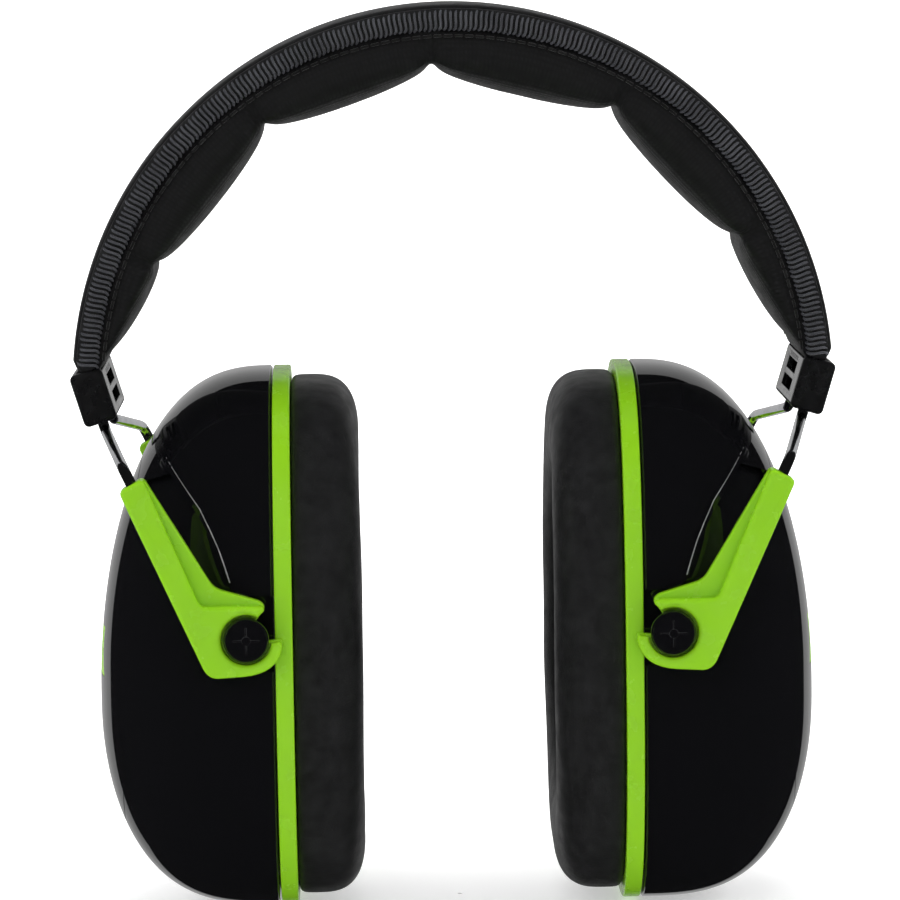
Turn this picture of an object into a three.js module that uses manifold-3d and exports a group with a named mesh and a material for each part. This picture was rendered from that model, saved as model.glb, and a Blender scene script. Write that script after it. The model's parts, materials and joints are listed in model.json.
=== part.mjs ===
// Earmuff hearing protector with a padded headband, spring wires, telescoping arms and tilting ear cups.
// Millimetres. +X is the wearer's side shown on the right, +Y points to the rear, +Z is up.
// Heights are built up from the cups' lowest point, and the whole object is then lowered so that
// the origin lies on the inside of the headband's crown, where the top of a head touches it.

import * as THREE from "three";
import { mergeVertices } from "three/addons/utils/BufferGeometryUtils.js";
import Module from "manifold-3d";

const wasm = await Module();
wasm.setup();

// ---------- driving dimensions ----------

const GAP = 0.3; // clearance between pieces that touch on the real object

// headband: layers of an arc, given by their radii about the arc's centre
const BAND_CENTRE_Z = 106.9;
const BAND_RADIUS = 77.1;
const BAND_END_DEG = 84.5;
const BAND_HALF_WIDTH = 20;
const COVER_THICKNESS = 1.7;
const STRIP_THICKNESS = 1.9;
const STRIP_HALF_WIDTH = 11.3;
const BINDING_WIDTH = 1.8;
const BINDING_OUTER = 1.0; // depth of the binding's edges below the cover's surface
const BINDING_INNER = 5.5;
const PAD_TOP = 4.3; // depths of the pad's faces below the cover's surface
const PAD_PINCHED = 12.8;
const PAD_FULL = 16.6;
const PAD_END = 6.9;
const PAD_END_SWELL = 2.4; // how far the two end segments swell beyond the line between their ends
const PAD_SEAMS_DEG = [-84.5, -67, -35, -3, 31, 63.5, 84.5]; // sewn channels, a little off centre
const PAD_HALF_WIDTH = 19.4;

// spring wires
const WIRE_RADIUS = 1.1;
const WIRE_ARC_RADIUS = 74.15;
const WIRE_Y = 13.5; // where a wire runs in the band, either side of the middle
const WIRE_KNEE = 3.4; // length of straight wire below a buckle
const WIRE_KNEE_BEND = 3.2;
const WIRE_NECK = 3.2; // length of wire between its lower bend and the arm
const WIRE_NECK_BEND = 3.5;
const WIRE_INSERTED = 32; // length of wire inside an arm with the muff closed right up

// buckles
const BUCKLE = { x: 72.6, z: 105.9, tiltDeg: 17, length: 10.9, thickness: 6.8, depth: 37 };
const BUCKLE_WALL = 1.4;
const BUCKLE_EDGE = 0.9;
const LID = { thickness: 1.2, length: 9.4, depth: 34, slotHeight: 2.4, slotDepth: 18, slotPitch: 3.6 };

// ear cups
const CUP_CENTRE_Z = 55;
const CUP_HALF_HEIGHT = 55;
const CUP_HALF_DEPTH = 40.5;
const CUP_ROUNDNESS = 2.7; // exponent of the cup's oval outline
const CUP_SEGMENTS = 32; // flats that make up the oval
const DOME_RINGS = 8; // from the dome's rim to its crest
const RING = { inner: 33.05, outer: 36.55, wall: 4 };
const DOME = { base: 36.85, height: 36.35, crestZ: 42, wallEdge: 3, wallFlank: 4.5 };
const RECESS_Y = 38.5; // flat sunk into the dome's flanks, on which the pivots stand
const RECESS_OUTLINE = [[30, 67.5], [42.5, 67.7], [45.3, 69.5], [47.6, 76], [51.2, 83.5], [58, 93], [80, 93],
  [80, 46.5], [30, 46.5]]; // corners in x and z: level with the pivot, widening upwards along the arm
const CAVITY_FOAM = { base: 37.2, gap: 0.7, height: 31.6, hollowHeight: 22, halfHeight: 39, halfDepth: 26 };
const PLATE = { inner: 33.05, outer: 35.05, openHalfHeight: 34, openHalfDepth: 22.5 };

// ear cushions, between an inner and an outer oval
const CUSHION = { back: 32.75, face: 19.3, halfHeight: 53, halfDepth: 38.6, openHalfHeight: 31,
  openHalfDepth: 20 };
const SKIN = 0.8;

// pivots and arms
const PIVOT_X = 42.1;
const PIVOT_Z = 60;
const PIVOT = { neck: 3.5, head: 4.5, spigot: 2.6, headFrom: 43.7, headTo: 46.9, headBevel: 0.6 };
const ARM = { inner: 40.9, step: 43.4, outer: 45.9, hookBore: 3.85, headBore: 4.95 };
const ARM_TOP = new THREE.Vector2(22, 31.05); // middle of the arm's upper end, from the pivot
const ARM_DIRECTION = new THREE.Vector2(-0.4283, -0.9036).normalize(); // down the arm

// generic accent bar on the outer face
const ACCENT = { z: 53.5, halfHeight: 5, halfDepth: 12.5, waist: 2.2, thickness: 1.3 };

// ---------- materials ----------

const finish = (color, roughness, metalness = 0) => new THREE.MeshStandardMaterial(
  { color, roughness, metalness });

const FABRIC = finish(0x17171a, 0.85);
const THREAD = finish(0x25262b, 0.75);
const FOAM = finish(0x3a3a3c, 0.95);
const STRIP_PLASTIC = finish(0x202022, 0.6);
const CHROME = finish(0xc9ccd0, 0.12, 1);
const SATIN_BLACK = finish(0x141414, 0.45);
const GLOSS_BLACK = finish(0x060608, 0.06);
const LIME = finish(0x8bc81e, 0.2);
const LEATHERETTE = finish(0x1b1b1d, 0.6);

// ---------- geometry helpers ----------

const radians = THREE.MathUtils.degToRad;
// Equal shares of a closed round, and equal shares from 0 to 1 with both ends.
const round = (count) => Array.from({ length: count }, (_, index) => index / count);
const along = (steps) => Array.from({ length: steps + 1 }, (_, index) => index / steps);

function fromTriangles(points, triangles) {
  const geometry = new THREE.BufferGeometry();
  const numbers = points.flatMap((p) => [p.x, p.y, p.z]);
  geometry.setAttribute("position", new THREE.Float32BufferAttribute(numbers, 3));
  geometry.setIndex(triangles.flat());
  return geometry;
}

// Turns a closed mesh so that its faces point outwards.
function outward(geometry) {
  const position = geometry.getAttribute("position");
  const index = geometry.getIndex();
  const corner = [new THREE.Vector3(), new THREE.Vector3(), new THREE.Vector3()];
  let volume = 0;
  for (let i = 0; i < index.count; i += 3) {
    corner.forEach((point, k) => point.fromBufferAttribute(position, index.getX(i + k)));
    volume += corner[0].dot(corner[1].clone().cross(corner[2]));
  }
  if (volume < 0) {
    for (let i = 0; i < index.count; i += 3) {
      const first = index.getX(i);
      index.setX(i, index.getX(i + 1));
      index.setX(i + 1, first);
    }
  }
  return geometry;
}

// Joins rings of points, each with the same count. An open loft gets flat ends, a closed one joins up.
function loft(rings, closed = false) {
  const count = rings[0].length;
  const points = rings.flat();
  const triangles = [];
  const spans = closed ? rings.length : rings.length - 1;
  for (let ring = 0; ring < spans; ring += 1) {
    const here = ring * count;
    const there = ((ring + 1) % rings.length) * count;
    for (let k = 0; k < count; k += 1) {
      const next = (k + 1) % count;
      triangles.push([here + k, there + k, there + next], [here + k, there + next, here + next]);
    }
  }
  if (!closed) {
    [0, rings.length - 1].forEach((ring) => {
      const middle = rings[ring].reduce((sum, p) => sum.add(p), new THREE.Vector3()).divideScalar(count);
      const hub = points.push(middle) - 1;
      for (let k = 0; k < count; k += 1) {
        const pair = [ring * count + k, ring * count + ((k + 1) % count)];
        triangles.push(ring === 0 ? [hub, ...pair] : [hub, ...pair.reverse()]);
      }
    });
  }
  return outward(fromTriangles(points, triangles));
}

// The same closed mesh with positions only and its shared vertices merged.
function merged(geometry) {
  const copy = geometry.clone();
  copy.deleteAttribute("normal");
  copy.deleteAttribute("uv");
  return mergeVertices(copy, 1e-4);
}

const mirrored = (geometry, alongX, alongY) => outward(
  merged(geometry).applyMatrix4(new THREE.Matrix4().makeScale(alongX, alongY, 1)));

function solid(geometry) {
  const mesh = merged(geometry);
  return new wasm.Manifold(new wasm.Mesh({
    numProp: 3,
    vertProperties: Float32Array.from(mesh.getAttribute("position").array),
    triVerts: Uint32Array.from(mesh.getIndex().array),
  }));
}

function fromSolid(manifold) {
  const mesh = manifold.getMesh();
  const geometry = new THREE.BufferGeometry();
  geometry.setAttribute("position", new THREE.Float32BufferAttribute(mesh.vertProperties, 3));
  geometry.setIndex(Array.from(mesh.triVerts));
  return geometry;
}

const cut = (body, ...tools) => fromSolid(
  tools.reduce((rest, tool) => rest.subtract(solid(tool)), solid(body)));

function box(width, depth, height, x = 0, y = 0, z = 0) {
  return new THREE.BoxGeometry(width, depth, height).translate(x, y, z);
}

// A cylinder along Y, centred on the middle plane.
function crossPin(radius, length, x, z) {
  return new THREE.CylinderGeometry(radius, radius, length, 16).translate(x, 0, z);
}

// Extrudes a shape drawn in X and Z towards the front, from y = -near to y = -far.
function frontPlate(shape, near, far, curveSegments = 4) {
  const geometry = new THREE.ExtrudeGeometry(shape, { depth: far - near, bevelEnabled: false, curveSegments });
  return geometry.rotateX(Math.PI / 2).translate(0, -near, 0);
}

// ---------- headband ----------

const bandPoint = (deg, radius, y) => new THREE.Vector3(
  radius * Math.sin(radians(deg)), y, BAND_CENTRE_Z + radius * Math.cos(radians(deg)));

// Lofts a section, given as radius and y for each angle, along the band's arc.
function alongBand(sectionAt, steps) {
  return loft(along(steps).map((t) => {
    const deg = BAND_END_DEG * (2 * t - 1);
    return sectionAt(deg).map(([radius, y]) => bandPoint(deg, radius, y));
  }));
}

function bandCover() {
  const edge = BAND_HALF_WIDTH - BINDING_WIDTH - GAP;
  const top = BAND_RADIUS;
  const section = [[top - 0.5, -edge], [top, -edge * 0.7], [top, edge * 0.7], [top - 0.5, edge],
    [top - COVER_THICKNESS, edge], [top - COVER_THICKNESS, -edge]];
  return alongBand(() => section, 24);
}

function bandStrip() {
  const inner = WIRE_ARC_RADIUS - STRIP_THICKNESS / 2;
  const outer = inner + STRIP_THICKNESS;
  const section = [[inner, -STRIP_HALF_WIDTH], [outer, -STRIP_HALF_WIDTH],
    [outer, STRIP_HALF_WIDTH], [inner, STRIP_HALF_WIDTH]];
  return alongBand(() => section, 18);
}

function frontBinding() {
  const near = -BAND_HALF_WIDTH;
  const far = near + BINDING_WIDTH;
  const outer = BAND_RADIUS - BINDING_OUTER;
  const inner = BAND_RADIUS - BINDING_INNER;
  const section = [[outer, far], [outer - 0.6, near], [inner + 0.6, near], [inner, far]];
  return alongBand(() => section, 24);
}

// Depth of the pad's inner face: full between the sewn channels, pinched at each of them.
function padDepth(deg) {
  const next = PAD_SEAMS_DEG.findIndex((seam) => seam > deg);
  const last = next < 0 ? PAD_SEAMS_DEG.length - 1 : Math.max(next, 1);
  const [from, to] = [PAD_SEAMS_DEG[last - 1], PAD_SEAMS_DEG[last]];
  const share = THREE.MathUtils.clamp((deg - from) / (to - from), 0, 1);
  const isEnd = (seam) => Math.abs(seam) === BAND_END_DEG;
  const [depthFrom, depthTo] = [from, to].map((seam) => (isEnd(seam) ? PAD_END : PAD_PINCHED));
  const swell = isEnd(from) || isEnd(to) ? PAD_END_SWELL : PAD_FULL - PAD_PINCHED;
  return THREE.MathUtils.lerp(depthFrom, depthTo, share) + swell * Math.sin(Math.PI * share) ** 0.6;
}

function headbandPad() {
  const bound = BAND_HALF_WIDTH - BINDING_WIDTH - GAP;
  return alongBand((deg) => {
    const top = BAND_RADIUS - PAD_TOP;
    const neck = BAND_RADIUS - BINDING_INNER - GAP;
    const inner = BAND_RADIUS - padDepth(deg);
    const side = THREE.MathUtils.lerp(neck, inner, 0.55);
    const half = [[top, bound], [neck, bound], [neck - 0.6, PAD_HALF_WIDTH], [side, PAD_HALF_WIDTH - 0.6],
      [inner, PAD_HALF_WIDTH - 7]];
    const other = half.map(([radius, y]) => [radius, -y]).reverse();
    return [...half, ...other];
  }, 36);
}

// ---------- spring wires ----------

// Replaces each inner corner of a path by an arc of the given radius.
function roundedPath(points, bends) {
  const path = [points[0]];
  for (let i = 1; i < points.length - 1; i += 1) {
    const into = points[i].clone().sub(points[i - 1]).normalize();
    const out = points[i + 1].clone().sub(points[i]).normalize();
    const turn = into.angleTo(out);
    const reach = bends[i - 1] * Math.tan(turn / 2);
    const start = points[i].clone().addScaledVector(into, -reach);
    const end = points[i].clone().addScaledVector(out, reach);
    const steps = Math.max(2, Math.ceil(turn / radians(20)));
    const curve = new THREE.QuadraticBezierCurve3(start, points[i], end);
    path.push(...curve.getPoints(steps));
  }
  path.push(points[points.length - 1]);
  return path;
}

// A round bar along a path, with its section carried along without twist.
function bar(path, radius, sides = 7) {
  let side = new THREE.Vector3(0, 1, 0);
  const rings = path.map((point, i) => {
    const before = path[Math.max(i - 1, 0)];
    const after = path[Math.min(i + 1, path.length - 1)];
    const tangent = after.clone().sub(before).normalize();
    side = side.clone().addScaledVector(tangent, -side.dot(tangent)).normalize();
    const up = tangent.clone().cross(side);
    return round(sides).map((t) => point.clone()
      .addScaledVector(side, radius * Math.cos(2 * Math.PI * t))
      .addScaledVector(up, radius * Math.sin(2 * Math.PI * t)));
  });
  return loft(rings);
}

// The lower half of a wire on the +X side: from the band's end through the buckle into the arm.
function wireLeg() {
  const tilt = radians(BUCKLE.tiltDeg);
  const down = new THREE.Vector3(-Math.sin(tilt), 0, -Math.cos(tilt));
  const alongArm = new THREE.Vector3(ARM_DIRECTION.x, 0, ARM_DIRECTION.y);
  const armTop = new THREE.Vector3(PIVOT_X + ARM_TOP.x, -(ARM.inner + ARM.outer) / 2, PIVOT_Z + ARM_TOP.y);
  const buckleMiddle = new THREE.Vector3(BUCKLE.x, -WIRE_Y, BUCKLE.z);
  const mouth = buckleMiddle.clone().addScaledVector(down, -BUCKLE.length / 2);
  const knee = buckleMiddle.clone().addScaledVector(down, BUCKLE.length / 2 + WIRE_KNEE);
  const neck = armTop.clone().addScaledVector(alongArm, -WIRE_NECK);
  const tip = armTop.clone().addScaledVector(alongArm, WIRE_INSERTED);
  const start = bandPoint(BAND_END_DEG - 1, WIRE_ARC_RADIUS, -WIRE_Y);
  return roundedPath([start, mouth, knee, neck, tip], [8, WIRE_KNEE_BEND, WIRE_NECK_BEND]);
}

function frontWire() {
  const leg = wireLeg();
  const otherLeg = leg.map((p) => new THREE.Vector3(-p.x, p.y, p.z)).reverse();
  const reach = BAND_END_DEG - 6;
  const arc = along(20).map((t) => bandPoint(reach * (2 * t - 1), WIRE_ARC_RADIUS, -WIRE_Y));
  return bar([...otherLeg, ...arc, ...leg], WIRE_RADIUS);
}

// ---------- buckles ----------

function roundedRectangle(width, height, corner) {
  const [x, y] = [width / 2, height / 2];
  const shape = new THREE.Shape();
  shape.moveTo(-x + corner, -y);
  shape.lineTo(x - corner, -y);
  shape.absarc(x - corner, -y + corner, corner, -Math.PI / 2, 0);
  shape.lineTo(x, y - corner);
  shape.absarc(x - corner, y - corner, corner, 0, Math.PI / 2);
  shape.lineTo(-x + corner, y);
  shape.absarc(-x + corner, y - corner, corner, Math.PI / 2, Math.PI);
  shape.lineTo(-x, -y + corner);
  shape.absarc(-x + corner, -y + corner, corner, Math.PI, 1.5 * Math.PI);
  return shape;
}

// The buckle's tray in its own frame: X outwards, Y along the band's width, Z along the wires.
function buckleTray() {
  const { length, thickness, depth } = BUCKLE;
  const outline = roundedRectangle(thickness, length, BUCKLE_EDGE);
  const block = frontPlate(outline, -depth / 2, depth / 2, 3);
  const pocketDepth = LID.thickness + GAP;
  const pocket = box(pocketDepth + 1, LID.depth + 2 * GAP, LID.length + 2 * GAP,
    -(thickness - pocketDepth + 1) / 2);
  const hollowWide = thickness - pocketDepth - BUCKLE_WALL;
  const hollow = box(hollowWide + 0.2, depth - 2 * BUCKLE_WALL - 1, length,
    -thickness / 2 + pocketDepth + hollowWide / 2, 0, BUCKLE_WALL);
  const holes = [-1, 1].map((side) => new THREE.CylinderGeometry(WIRE_RADIUS + GAP, WIRE_RADIUS + GAP, 6, 12)
    .rotateX(Math.PI / 2).translate(0, side * WIRE_Y, -length / 2));
  return cut(block, pocket, hollow, ...holes);
}

function buckleLid() {
  const x = -(BUCKLE.thickness - LID.thickness) / 2;
  const slots = [-1, 1].map((side) => box(4, LID.slotDepth, LID.slotHeight, x, 0, side * LID.slotPitch / 2));
  return cut(box(LID.thickness, LID.depth, LID.length, x), ...slots);
}

// ---------- ear cups ----------

// Point on an oval of the cup's outline: share 0 to 1 goes once round, starting at the rear.
function ovalPoint(share, halfDepth, halfHeight) {
  const angle = 2 * Math.PI * share;
  const bend = (value) => Math.sign(value) * Math.abs(value) ** (2 / CUP_ROUNDNESS);
  return new THREE.Vector2(halfDepth * bend(Math.cos(angle)),
    CUP_CENTRE_Z + halfHeight * bend(Math.sin(angle)));
}

function ovalShape(halfDepth, halfHeight, segments) {
  return new THREE.Shape(round(segments).map((share) => ovalPoint(share, halfDepth, halfHeight)));
}

// A flat oval frame between two X planes.
function ovalFrame(inner, outer, size, opening, segments = CUP_SEGMENTS) {
  const shape = ovalShape(...size, segments);
  shape.holes.push(new THREE.Path(ovalShape(...opening, segments).getPoints()));
  const geometry = new THREE.ExtrudeGeometry(shape, { depth: outer - inner, bevelEnabled: false });
  const turn = new THREE.Matrix4().set(0, 0, 1, inner, 1, 0, 0, 0, 0, 1, 0, 0, 0, 0, 0, 1);
  return geometry.applyMatrix4(turn);
}

// One ring of a dome, shrunk to a share of its rim towards the crest; the dome rises as it shrinks.
function domeRing(base, height, halfDepth, halfHeight, shrink, segments) {
  return round(segments).map((share) => {
    const rim = ovalPoint(share, halfDepth, halfHeight);
    const fullness = 2.8 - 0.2 * (rim.y - CUP_CENTRE_Z) / halfHeight;
    const rise = Math.max(0, 1 - shrink ** 2) ** (1 / fullness);
    return new THREE.Vector3(base + height * rise, rim.x * shrink,
      DOME.crestZ + (rim.y - DOME.crestZ) * shrink);
  });
}

function domeRings(base, height, halfDepth, halfHeight, rings, segments) {
  return along(rings - 1).map((t) => domeRing(base, height, halfDepth, halfHeight,
    Math.cos(radians(86) * t), segments));
}

// The filled dome, moved along X.
const domeBody = (shift) => loft(domeRings(DOME.base + shift, DOME.height,
  CUP_HALF_DEPTH, CUP_HALF_HEIGHT, DOME_RINGS, CUP_SEGMENTS));

function accentShape(margin) {
  const [y, z, waist] = [ACCENT.halfDepth + margin, ACCENT.halfHeight + margin, ACCENT.waist];
  const shape = new THREE.Shape();
  shape.moveTo(-y, -z);
  shape.lineTo(y, -z);
  shape.quadraticCurveTo(y - waist, 0, y, z);
  shape.lineTo(-y, z);
  shape.quadraticCurveTo(-y + waist, 0, -y, -z);
  return shape;
}

function accentPrism(margin) {
  const geometry = new THREE.ExtrudeGeometry(accentShape(margin),
    { depth: 40, bevelEnabled: false, curveSegments: 5 });
  const turn = new THREE.Matrix4().set(0, 0, 1, 50, 1, 0, 0, 0, 0, 1, 0, ACCENT.z, 0, 0, 0, 1);
  return geometry.applyMatrix4(turn);
}

const accentInlay = () => fromSolid(solid(accentPrism(0)).intersect(solid(domeBody(-0.05)))
  .subtract(solid(domeBody(-ACCENT.thickness))));

// What is cut away above the sunk flat in the front flank.
function recess() {
  const outline = new THREE.Shape(RECESS_OUTLINE.map(([x, z]) => new THREE.Vector2(x, z)));
  return frontPlate(outline, RECESS_Y, RECESS_Y + 10);
}

function cupShell() {
  const outer = domeRings(DOME.base, DOME.height, CUP_HALF_DEPTH, CUP_HALF_HEIGHT, DOME_RINGS, CUP_SEGMENTS);
  const inner = domeRings(DOME.base, DOME.height - DOME.wallEdge, CUP_HALF_DEPTH - DOME.wallFlank,
    CUP_HALF_HEIGHT - DOME.wallEdge, 5, CUP_SEGMENTS);
  const shell = solid(loft([...outer.reverse(), ...inner]));
  const pocket = solid(accentPrism(GAP)).subtract(solid(domeBody(-ACCENT.thickness - GAP)));
  const flats = [1, -1].map((side) => solid(mirrored(recess(), 1, side)));
  const hole = solid(crossPin(PIVOT.spigot + GAP, 2 * (RECESS_Y + 4), PIVOT_X, PIVOT_Z));
  return fromSolid([pocket, ...flats, hole].reduce((rest, tool) => rest.subtract(tool), shell));
}

function trimRing() {
  const size = [CUP_HALF_DEPTH, CUP_HALF_HEIGHT];
  return ovalFrame(RING.inner, RING.outer, size, size.map((half) => half - RING.wall));
}

function sealPlate() {
  const size = [CUP_HALF_DEPTH, CUP_HALF_HEIGHT].map((half) => half - RING.wall - GAP);
  return ovalFrame(PLATE.inner, PLATE.outer, size, [PLATE.openHalfDepth, PLATE.openHalfHeight], 28);
}

function cavityFoam() {
  const margin = CAVITY_FOAM.gap;
  const outer = domeRings(CAVITY_FOAM.base, CAVITY_FOAM.height, CUP_HALF_DEPTH - DOME.wallFlank - margin,
    CUP_HALF_HEIGHT - DOME.wallEdge - margin, 5, 24);
  const inner = domeRings(CAVITY_FOAM.base, CAVITY_FOAM.hollowHeight, CAVITY_FOAM.halfDepth,
    CAVITY_FOAM.halfHeight, 4, 24);
  return loft([...outer.reverse(), ...inner]);
}

// ---------- ear cushions ----------

// A cushion's outline in section. The first number goes from 0 at the ear opening to 1 at the outer
// edge, the second from 0 at the back to 1 at the sealing face; inset moves it inwards.
function cushionSection(inset) {
  const profile = [[0.05, 0], [0, 0.4], [0.08, 0.84], [0.3, 1], [0.68, 1], [0.87, 0.93], [0.97, 0.74],
    [1, 0.4], [0.97, 0]];
  const depth = CUSHION.back - CUSHION.face;
  const width = CUSHION.halfHeight - CUSHION.openHalfHeight;
  return profile.map(([across, out]) => {
    const inward = across < 0.5 ? inset / width : -inset / width;
    const rise = Math.min(out * depth, depth - inset);
    return [across + inward, rise];
  });
}

function cushionLoft(section, segments) {
  return loft(round(segments).map((share) => {
    const opening = ovalPoint(share, CUSHION.openHalfDepth, CUSHION.openHalfHeight);
    const edge = ovalPoint(share, CUSHION.halfDepth, CUSHION.halfHeight);
    return section.map(([across, rise]) => {
      const place = opening.clone().lerp(edge, across);
      return new THREE.Vector3(CUSHION.back - rise, place.x, place.y);
    });
  }), true);
}

const cushionSkin = () => cushionLoft([...cushionSection(0), ...cushionSection(SKIN).reverse()], 28);
const cushionFoam = () => cushionLoft(cushionSection(SKIN + GAP), 28);

// ---------- pivots and arms ----------

function frontPivot() {
  const { neck, head, spigot, headFrom, headTo, headBevel } = PIVOT;
  const foot = RECESS_Y + GAP;
  const profile = [[0, foot - 2.2], [spigot, foot - 2.2], [spigot, foot], [neck, foot], [neck, headFrom],
    [head, headFrom], [head, headTo - headBevel], [head - headBevel, headTo], [0, headTo]];
  return new THREE.LatheGeometry(profile.map(([radius, y]) => new THREE.Vector2(radius, -y)), 16);
}

// The arm's outline from the pivot, X outwards and Y up. The hook opens towards the trim ring.
// The raised outline is the rib and the hook; the full one adds the web between them.
function armShape(boreRadius, raised) {
  const beak = Math.atan2(4.2, -2.2);
  const tip = Math.atan2(-0.77, -4.83);
  const shape = new THREE.Shape();
  shape.moveTo(24, 28.75);
  shape.quadraticCurveTo(24.4, 29.85, 23.4, 30.35);
  shape.lineTo(20.7, 31.85);
  if (raised) {
    shape.quadraticCurveTo(19.7, 32.35, 19.3, 31.45);
    shape.lineTo(9.4, 7.9);
    shape.quadraticCurveTo(8.9, 6.7, 7.6, 6.7);
    shape.lineTo(-2, 6.7);
  } else {
    shape.quadraticCurveTo(19.8, 32.35, 19.2, 31.55);
    shape.lineTo(7, 11.4);
    shape.quadraticCurveTo(6.2, 10.1, 4.6, 9.6);
    shape.lineTo(-2.4, 7.5);
  }
  shape.quadraticCurveTo(-3.9, 6.8, -3.6, 5.7);
  shape.lineTo(boreRadius * Math.cos(beak), boreRadius * Math.sin(beak));
  shape.absarc(0, 0, boreRadius, beak, tip, true);
  shape.lineTo(-6.6, -0.4);
  shape.quadraticCurveTo(-7.2, -0.6, -7.1, -1.7);
  shape.quadraticCurveTo(-6, -6.8, 0.5, -7.3);
  shape.lineTo(5.6, -7.6);
  shape.quadraticCurveTo(7.6, -7.6, 8.6, -5.6);
  return shape;
}

function frontArm() {
  const full = solid(frontPlate(armShape(ARM.hookBore, false), ARM.inner, ARM.step));
  const raised = solid(frontPlate(armShape(ARM.headBore, true), ARM.step - 0.01, ARM.outer));
  const depth = WIRE_INSERTED + 1.5;
  const middle = ARM_TOP.clone().addScaledVector(ARM_DIRECTION, depth / 2 - 1);
  const bore = new THREE.CylinderGeometry(WIRE_RADIUS + GAP, WIRE_RADIUS + GAP, depth + 2, 12)
    .rotateX(Math.PI / 2).rotateY(Math.atan2(ARM_DIRECTION.x, ARM_DIRECTION.y))
    .translate(middle.x, -(ARM.inner + ARM.outer) / 2, middle.y);
  return fromSolid(full.add(raised).subtract(solid(bore)));
}

// ---------- assembly ----------

function addPiece(group, name, geometry, material) {
  const mesh = new THREE.Mesh(geometry, material);
  mesh.name = name;
  group.add(mesh);
}

const earmuff = new THREE.Group();
earmuff.position.z = padDepth(0) - BAND_CENTRE_Z - BAND_RADIUS; // the pad's inner face comes to the origin

const ENDS = [["front", 1], ["rear", -1]];
const SIDES = [["left", -1], ["right", 1]];

const headband = new THREE.Group();
earmuff.add(headband);
addPiece(headband, "band_cover", bandCover(), FABRIC);
addPiece(headband, "band_strip", bandStrip(), STRIP_PLASTIC);
addPiece(headband, "headband_pad", headbandPad(), FABRIC);
ENDS.forEach(([end, alongY]) => {
  addPiece(headband, `${end}_binding`, mirrored(frontBinding(), 1, alongY), THREAD);
  addPiece(headband, `${end}_wire`, mirrored(frontWire(), 1, alongY), CHROME);
});

SIDES.forEach(([side, alongX]) => {
  const buckle = new THREE.Group();
  buckle.position.set(alongX * BUCKLE.x, 0, BUCKLE.z);
  buckle.rotation.y = alongX * radians(BUCKLE.tiltDeg);
  headband.add(buckle);
  addPiece(buckle, `${side}_buckle`, mirrored(buckleTray(), alongX, 1), SATIN_BLACK);
  addPiece(buckle, `${side}_buckle_lid`, mirrored(buckleLid(), alongX, 1), SATIN_BLACK);

  const yoke = new THREE.Group();
  const cup = new THREE.Group();
  const pins = new THREE.Group();
  earmuff.add(yoke, cup);
  cup.add(pins);
  yoke.position.set(alongX * PIVOT_X, 0, PIVOT_Z);
  pins.position.copy(yoke.position);
  ENDS.forEach(([end, alongY]) => {
    addPiece(yoke, `${side}_${end}_arm`, mirrored(frontArm(), alongX, alongY), LIME);
    addPiece(pins, `${side}_${end}_pivot`, mirrored(frontPivot(), alongX, alongY), GLOSS_BLACK);
  });
  addPiece(cup, `${side}_cup_shell`, mirrored(cupShell(), alongX, 1), GLOSS_BLACK);
  addPiece(cup, `${side}_trim_ring`, mirrored(trimRing(), alongX, 1), LIME);
  addPiece(cup, `${side}_seal_plate`, mirrored(sealPlate(), alongX, 1), SATIN_BLACK);
  addPiece(cup, `${side}_cavity_foam`, mirrored(cavityFoam(), alongX, 1), FOAM);
  addPiece(cup, `${side}_cushion_skin`, mirrored(cushionSkin(), alongX, 1), LEATHERETTE);
  addPiece(cup, `${side}_cushion_foam`, mirrored(cushionFoam(), alongX, 1), FOAM);
  addPiece(cup, `${side}_accent_inlay`, mirrored(accentInlay(), alongX, 1), LIME);
});

export default earmuff;
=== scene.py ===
"""Earmuff hearing protector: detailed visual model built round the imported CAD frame.

Lengths are in metres in the row frame: +X to the right seen from the front, +Y to the rear, +Z up,
with the origin on the inside of the headband's crown. Sizes given in millimetres are named with MM.
"""

import json
import logging
import math
import random
from dataclasses import dataclass, field
from enum import Enum
from typing import Callable, Sequence

import bmesh
import bpy
from mathutils import Matrix, Vector


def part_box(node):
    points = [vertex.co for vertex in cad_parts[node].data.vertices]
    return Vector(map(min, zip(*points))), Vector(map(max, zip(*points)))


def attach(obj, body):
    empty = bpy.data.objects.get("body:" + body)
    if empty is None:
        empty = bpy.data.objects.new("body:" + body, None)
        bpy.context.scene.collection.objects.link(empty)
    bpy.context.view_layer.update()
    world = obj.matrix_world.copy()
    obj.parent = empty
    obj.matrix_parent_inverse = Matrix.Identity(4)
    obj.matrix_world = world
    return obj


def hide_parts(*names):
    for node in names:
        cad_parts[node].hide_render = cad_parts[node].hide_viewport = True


logging.basicConfig(level=logging.INFO, format="%(message)s")
LOG = logging.getLogger("earmuff")

MM = 0.001
Ring = list[Vector]
Section = list[tuple[float, float]]

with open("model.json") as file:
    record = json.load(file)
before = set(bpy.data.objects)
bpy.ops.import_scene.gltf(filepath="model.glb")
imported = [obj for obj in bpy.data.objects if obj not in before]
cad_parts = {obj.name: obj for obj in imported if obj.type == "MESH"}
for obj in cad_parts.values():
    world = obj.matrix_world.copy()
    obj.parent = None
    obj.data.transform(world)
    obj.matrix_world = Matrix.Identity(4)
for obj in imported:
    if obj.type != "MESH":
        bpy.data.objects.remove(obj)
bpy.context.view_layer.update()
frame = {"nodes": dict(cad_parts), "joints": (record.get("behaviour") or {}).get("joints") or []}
JOINTS = {joint["name"]: joint for joint in frame["joints"]}
CUP_LOW, CUP_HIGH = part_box("right_trim_ring")
FLOOR_Z = CUP_LOW.z


class Side(Enum):
    """Left or right half of the earmuff, by the sign of X."""

    LEFT = -1
    RIGHT = 1

    @property
    def word(self) -> str:
        """Name used in the nodes."""
        return self.name.lower()


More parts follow.
